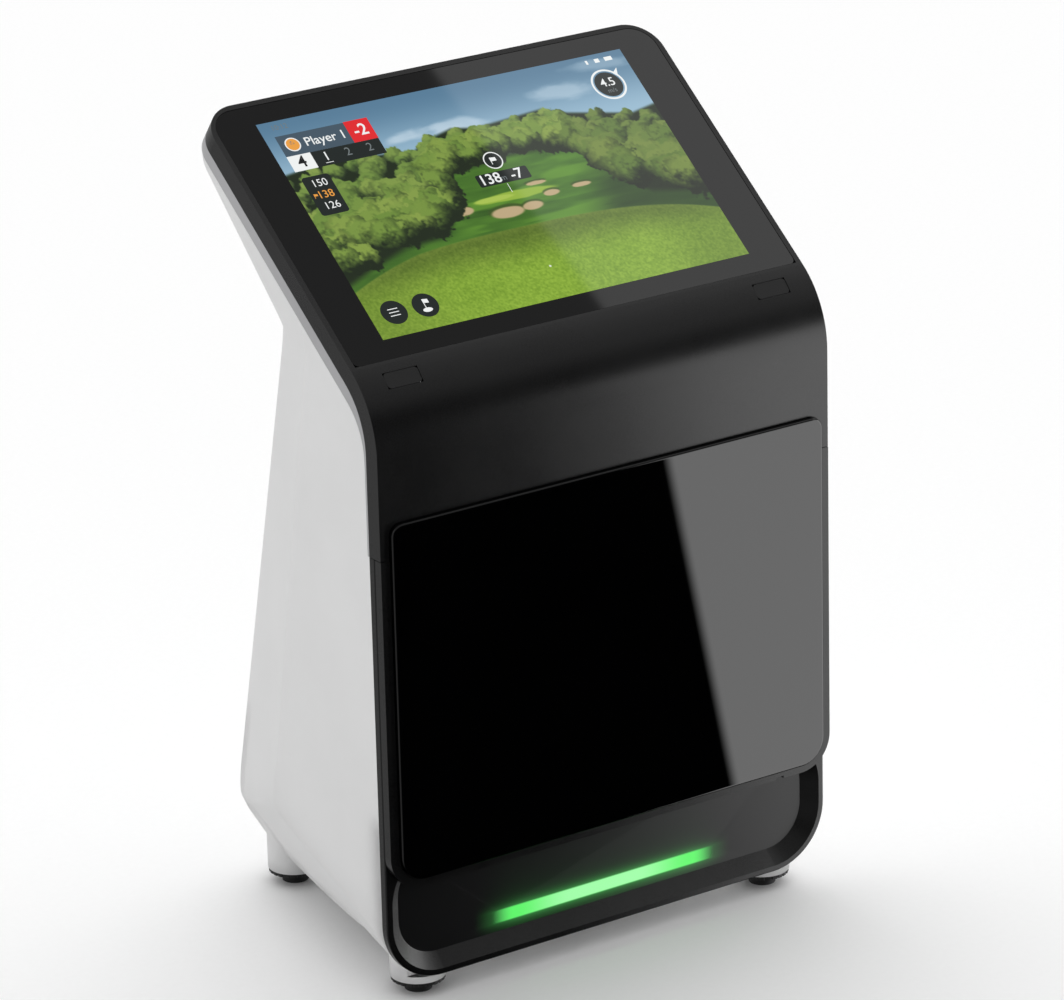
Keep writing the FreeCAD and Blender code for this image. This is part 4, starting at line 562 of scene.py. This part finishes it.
class Sheet:
    """Flat shapes of one colour on the display, gathered into one mesh."""

    def __init__(self, name, color, lift):
        self.name = name
        self.color = linear(np.array(color) / 255)
        self.lift = lift * MM
        self.points = []
        self.faces = []

    def polygon(self, outline):
        start = len(self.points)
        self.points += [on_screen(u, v, self.lift) for u, v in outline]
        self.faces.append(list(range(start, start + len(outline)))[::-1])

    def bar(self, low_u, low_v, high_u, high_v):
        self.polygon([(low_u, low_v), (high_u, low_v), (high_u, high_v), (low_u, high_v)])

    def rounded(self, low_u, low_v, high_u, high_v, radius):
        outline = []
        tall = radius * ASPECT
        middles = ((high_u - radius, low_v + tall), (high_u - radius, high_v - tall),
                   (low_u + radius, high_v - tall), (low_u + radius, low_v + tall))
        for corner, (middle_u, middle_v) in enumerate(middles):
            for step in range(5):
                turn = (corner - 1 + step / 4) * math.pi / 2
                outline.append((middle_u + radius * math.cos(turn), middle_v + tall * math.sin(turn)))
        self.polygon(outline)

    def disc(self, u, v, radius, sides=40):
        turns = [2 * math.pi * k / sides for k in range(sides)]
        self.polygon([(u + radius * math.cos(turn), v + ASPECT * radius * math.sin(turn)) for turn in turns])

    def ring(self, u, v, outer, inner, sides=48):
        turns = [2 * math.pi * k / sides for k in range(sides + 1)]
        for first, second in zip(turns, turns[1:]):
            corners = ((inner, first), (outer, first), (outer, second), (inner, second))
            self.polygon([(u + reach * math.cos(turn), v + ASPECT * reach * math.sin(turn))
                          for reach, turn in corners])

    def text(self, words, u, v, size, bold=0.0, align="CENTER"):
        """Plain digits or a word in the built-in letter shapes, turned into flat faces."""
        curve = bpy.data.curves.new("letters", "FONT")
        curve.body = words
        curve.size = size * SCREEN_WIDE
        curve.align_x = align
        curve.align_y = "CENTER"
        curve.offset = bold * curve.size
        holder = bpy.data.objects.new("letters", curve)
        scene.collection.objects.link(holder)
        bpy.context.view_layer.update()
        shape = holder.to_mesh()
        place = SCREEN @ Matrix.Translation(((u - 0.5) * SCREEN_WIDE, (0.5 - v) * SCREEN_TALL, self.lift))
        start = len(self.points)
        self.points += [place @ vertex.co for vertex in shape.vertices]
        self.faces += [[start + k for k in face.vertices] for face in shape.polygons]
        holder.to_mesh_clear()
        bpy.data.objects.remove(holder)
        bpy.data.curves.remove(curve)

    def finish(self):
        mesh = bpy.data.meshes.new(self.name)
        mesh.from_pydata([tuple(point) for point in self.points], [], self.faces)
        mesh.validate()
        add_piece(self.name, mesh, screen_material("lit_" + self.name, self.color))


def draw_score_card(ink):
    ink.slate.bar(0.027, 0.068, 0.211, 0.163)
    ink.red.bar(0.209, 0.066, 0.273, 0.163)
    ink.dark.bar(0.089, 0.163, 0.272, 0.234)
    ink.white.bar(0.027, 0.163, 0.089, 0.234)
    ink.white.text("Player 1", 0.146, 0.117, 0.034, 0.008)
    ink.white.text("-2", 0.241, 0.114, 0.045, 0.012)
    ink.black.text("4", 0.058, 0.197, 0.045, 0.012)
    ink.white.text("1", 0.123, 0.195, 0.034, 0.006)
    ink.white.bar(0.113, 0.221, 0.133, 0.2235)
    ink.grey.text("2", 0.181, 0.195, 0.032)
    ink.grey.text("2", 0.239, 0.195, 0.032)
    ink.white.disc(0.060, 0.115, 0.0195)
    ink.amber.disc(0.060, 0.115, 0.0165)
    ink.grey.disc(0.060, 0.108, 0.006)


def draw_distances(ink):
    ink.dark.rounded(0.030, 0.265, 0.103, 0.442, 0.008)
    ink.white.text("150", 0.090, 0.300, 0.028, 0.0, "RIGHT")
    ink.amber.text("138", 0.090, 0.352, 0.029, 0.004, "RIGHT")
    ink.white.text("126", 0.090, 0.403, 0.028, 0.0, "RIGHT")
    ink.amber.polygon([(0.038, 0.342), (0.048, 0.345), (0.048, 0.353), (0.0395, 0.353), (0.0395, 0.362),
                       (0.038, 0.362)])


def draw_target(ink):
    ink.dark.rounded(0.446, 0.414, 0.586, 0.470, 0.005)
    ink.white.text("138", 0.480, 0.442, 0.040, 0.012)
    ink.white.text("-7", 0.552, 0.442, 0.040, 0.012)
    ink.grey.text("m", 0.515, 0.447, 0.022)
    ink.dark.disc(0.515, 0.364, 0.0222)
    ink.white.ring(0.515, 0.364, 0.0245, 0.0215)
    ink.white.polygon([(0.508, 0.349), (0.524, 0.352), (0.524, 0.367), (0.510, 0.367), (0.510, 0.381),
                       (0.508, 0.381)])
    ink.white.bar(0.5145, 0.474, 0.5160, 0.515)


def draw_wind_ring(ink):
    ink.dark.disc(0.917, 0.145, 0.036)
    ink.white.ring(0.917, 0.145, 0.0445, 0.0395)
    ink.white.polygon([(0.944, 0.100), (0.962, 0.078), (0.953, 0.118)])
    ink.white.text("4.5", 0.917, 0.136, 0.033, 0.006)
    ink.grey.text("m/s", 0.917, 0.174, 0.018)


def draw_buttons(ink):
    """A menu button with three lines, and one with a flag on a small green."""
    for u in (0.063, 0.146):
        ink.dark.disc(u, 0.899, 0.0325)
    for step in range(3):
        ink.white.bar(0.050, 0.882 + 0.0145 * step, 0.076, 0.8855 + 0.0145 * step)
    ink.white.bar(0.1435, 0.872, 0.1455, 0.918)
    ink.white.polygon([(0.1455, 0.872), (0.158, 0.875), (0.158, 0.892), (0.1455, 0.889)])
    turns = [k * math.pi / 12 for k in range(24)]
    ink.white.polygon([(0.146 + 0.0125 * math.cos(turn), 0.920 + 0.0095 * math.sin(turn)) for turn in turns])


def draw_status_line(ink):
    ink.grey.text("10:12", 0.052, 0.030, 0.020)
    for low, high in ((0.892, 0.898), (0.917, 0.930), (0.945, 0.966)):
        ink.white.bar(low, 0.022, high, 0.040)


def make_overlay():
    """The readouts on the picture, one sheet to a colour. Each is drawn at shares of the display's width and
    height, and the sheets lie a few hundredths of a millimetre apart."""
    ink = SimpleNamespace(
        dark=Sheet("screen_boxes", (22, 30, 28), 0.06),
        slate=Sheet("screen_card", (66, 84, 98), 0.07),
        red=Sheet("screen_red", (222, 34, 40), 0.08),
        white=Sheet("screen_white", (238, 241, 240), 0.09),
        black=Sheet("screen_digits_dark", (16, 18, 20), 0.11),
        grey=Sheet("screen_grey", (112, 120, 122), 0.10),
        amber=Sheet("screen_amber", (232, 158, 66), 0.10))
    for draw in (draw_score_card, draw_distances, draw_target, draw_wind_ring, draw_buttons,
                 draw_status_line):
        draw(ink)
    for sheet in vars(ink).values():
        sheet.finish()


# ---------------------------------------------------------------- studio

# the direction in which the studio is brightest, and the strength of its light there and opposite
BRIGHT_SIDE = Vector((0.55, 0.6, 0.58))
SKY_LOW = 0.64
SKY_HIGH = 1.61

# a white card near the object: the ends of the line that its left edge shows on the window, as X and Z, how
# far off it stands, how wide it is, how far it runs on above and below that line, its edge and its strength
CARD_LINE = ((0.0329, 0.2542), (0.0711, 0.0705))
CARD_FAR = 0.5
CARD_WIDE = 0.7
CARD_ABOVE = 0.25
CARD_BELOW = 0.35
CARD_SOFT = 0.004
CARD_POWER = 3.0

# the line that the edge of the light overhead shows on the display, across and up from its middle
GLASS_LINE = ((0.001, 0.077), (0.013, -0.077))

FLOOR_REACH = 14.0

# the camera's direction, place and lens
HEADING = math.radians(34.19)
DROP = math.radians(20.02)
ROLL = math.radians(-1.405)
CAMERA_SPOT = Vector((-1.484, -2.21469, 1.1809))
SENSOR = 36.0
LENS = 191.3346


def make_camera():
    ahead = Vector((math.sin(HEADING), math.cos(HEADING), 0))
    forward = ahead * math.cos(DROP) - Vector((0, 0, math.sin(DROP)))
    level = Vector((math.cos(HEADING), -math.sin(HEADING), 0))
    up = level.cross(forward)
    right = level * math.cos(ROLL) + up * math.sin(ROLL)
    up = right.cross(forward)
    data = bpy.data.cameras.new("camera")
    data.sensor_width = SENSOR
    data.lens = LENS
    data.clip_start = 0.01
    data.clip_end = 100
    camera = bpy.data.objects.new("camera", data)
    scene.collection.objects.link(camera)
    camera.matrix_world = Matrix((
        (right.x, up.x, -forward.x, CAMERA_SPOT.x),
        (right.y, up.y, -forward.y, CAMERA_SPOT.y),
        (right.z, up.z, -forward.z, CAMERA_SPOT.z),
        (0, 0, 0, 1)))
    scene.camera = camera


def make_floor():
    mesh = bpy.data.meshes.new("floor")
    corners = [(x * FLOOR_REACH, y * FLOOR_REACH, 0) for x, y in ((-1, -1), (1, -1), (1, 1), (-1, 1))]
    mesh.from_pydata(corners, [], [(0, 1, 2, 3)])
    floor = bpy.data.objects.new("floor", mesh)
    scene.collection.objects.link(floor)
    material = bpy.data.materials.new("floor_white")
    tree = graph(material)
    fine = add(tree, "TexNoise", Vector=object_place(tree), Scale=300.0, Detail=3.0)
    tone = blend_color(tree, fine.outputs["Fac"], (0.93, 0.93, 0.93, 1), (0.96, 0.96, 0.96, 1))
    close(tree, add(tree, "BsdfDiffuse", Color=tone))
    mesh.materials.append(material)
    floor.visible_glossy = False


def bounce(spot, normal):
    """The direction in which the sight line to a place on a mirror leaves it."""
    sight = (spot - CAMERA_SPOT).normalized()
    return sight - 2 * sight.dot(normal) * normal


def mirrored_edge(first, second, normal):
    """The plane through the origin, as its normal, that holds the sight lines mirrored at two places."""
    plane = bounce(first, normal).cross(bounce(second, normal)).normalized()
    return plane if plane.x > 0 else -plane


def make_card():
    """A white panel that only reflections show. Its left edge is mirrored as a line down the window."""
    front = Vector((0, -1, 0))
    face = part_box("sensor_window")[0].y
    high, low = (Vector((x, face, z)) for x, z in CARD_LINE)
    outwards = bounce(Vector((0.05, face, 0.16)), front)
    high = high + CARD_FAR * bounce(high, front)
    low = low + CARD_FAR * bounce(low, front)
    along = (low - high).normalized()
    across = along.cross(outwards).normalized()
    if across.x < 0:
        across = -across
    near_top = high - CARD_ABOVE * along
    near_foot = low + CARD_BELOW * along
    mesh = bpy.data.meshes.new("card")
    mesh.from_pydata([near_top - CARD_SOFT * across, near_foot - CARD_SOFT * across,
                      near_foot + CARD_WIDE * across, near_top + CARD_WIDE * across], [], [(0, 1, 2, 3)])
    card = bpy.data.objects.new("card", mesh)
    scene.collection.objects.link(card)
    material = bpy.data.materials.new("card_white")
    tree = graph(material)
    place = object_place(tree)
    reach = add(tree, "VectorMath", {"operation": "DOT_PRODUCT"}, i0=place, i1=tuple(across)).outputs["Value"]
    start = near_top.dot(across)
    power = spread(tree, reach, start - CARD_SOFT, start + CARD_SOFT, 0.0, CARD_POWER, True)
    close(tree, add(tree, "Emission", Color=(1, 1, 1, 1), Strength=power))
    mesh.materials.append(material)
    card.visible_camera = False
    card.visible_diffuse = False
    card.visible_shadow = False
    card.visible_transmission = False


def make_world():
    """A white surround for the open light, and the broad soft panels that only reflections show."""
    world = bpy.data.worlds.new("studio")
    scene.world = world
    tree = graph(world)
    look = add(tree, "TexCoord").outputs["Generated"]
    spot = add(tree, "SeparateXYZ", Vector=look).outputs
    glass = SCREEN.to_3x3() @ Vector((0, 0, 1))
    glass_edge = mirrored_edge(*(SCREEN @ Vector((across, up, 0)) for across, up in GLASS_LINE), glass)

    def along(line):
        return add(tree, "VectorMath", {"operation": "DOT_PRODUCT"}, i0=look, i1=tuple(line)).outputs["Value"]

    above = spread(tree, spot["Z"], 0.3, 0.6, 0.0, 1.0, True)
    split = spread(tree, along(glass_edge), -0.0008, 0.0008, 0.32, 1.15, True)
    sky = math_node(tree, "MULTIPLY", above, split)
    left = spread(tree, spot["X"], -0.45, -0.95, 0.0, 0.45, True)
    back = spread(tree, spot["Y"], 0.1, 0.8, 0.0, 0.5, True)
    gloss = math_node(tree, "ADD", sky, math_node(tree, "MAXIMUM", left, back))
    path = add(tree, "LightPath").outputs
    soft = spread(tree, along(BRIGHT_SIDE.normalized()), 0.2, 0.9, SKY_LOW, SKY_HIGH, True)
    seen = math_node(tree, "MAXIMUM", path["Is Camera Ray"], soft)
    strength = mix(tree, "FLOAT", path["Is Glossy Ray"], seen, gloss)
    backdrop = add(tree, "Background", Color=(1, 1, 1, 1), Strength=strength)
    add(tree, "OutputWorld", Surface=backdrop.outputs[0])


dress_nodes()
make_picture()
make_overlay()
make_camera()
make_floor()
make_card()
make_world()
scene.view_settings.view_transform = "Standard"
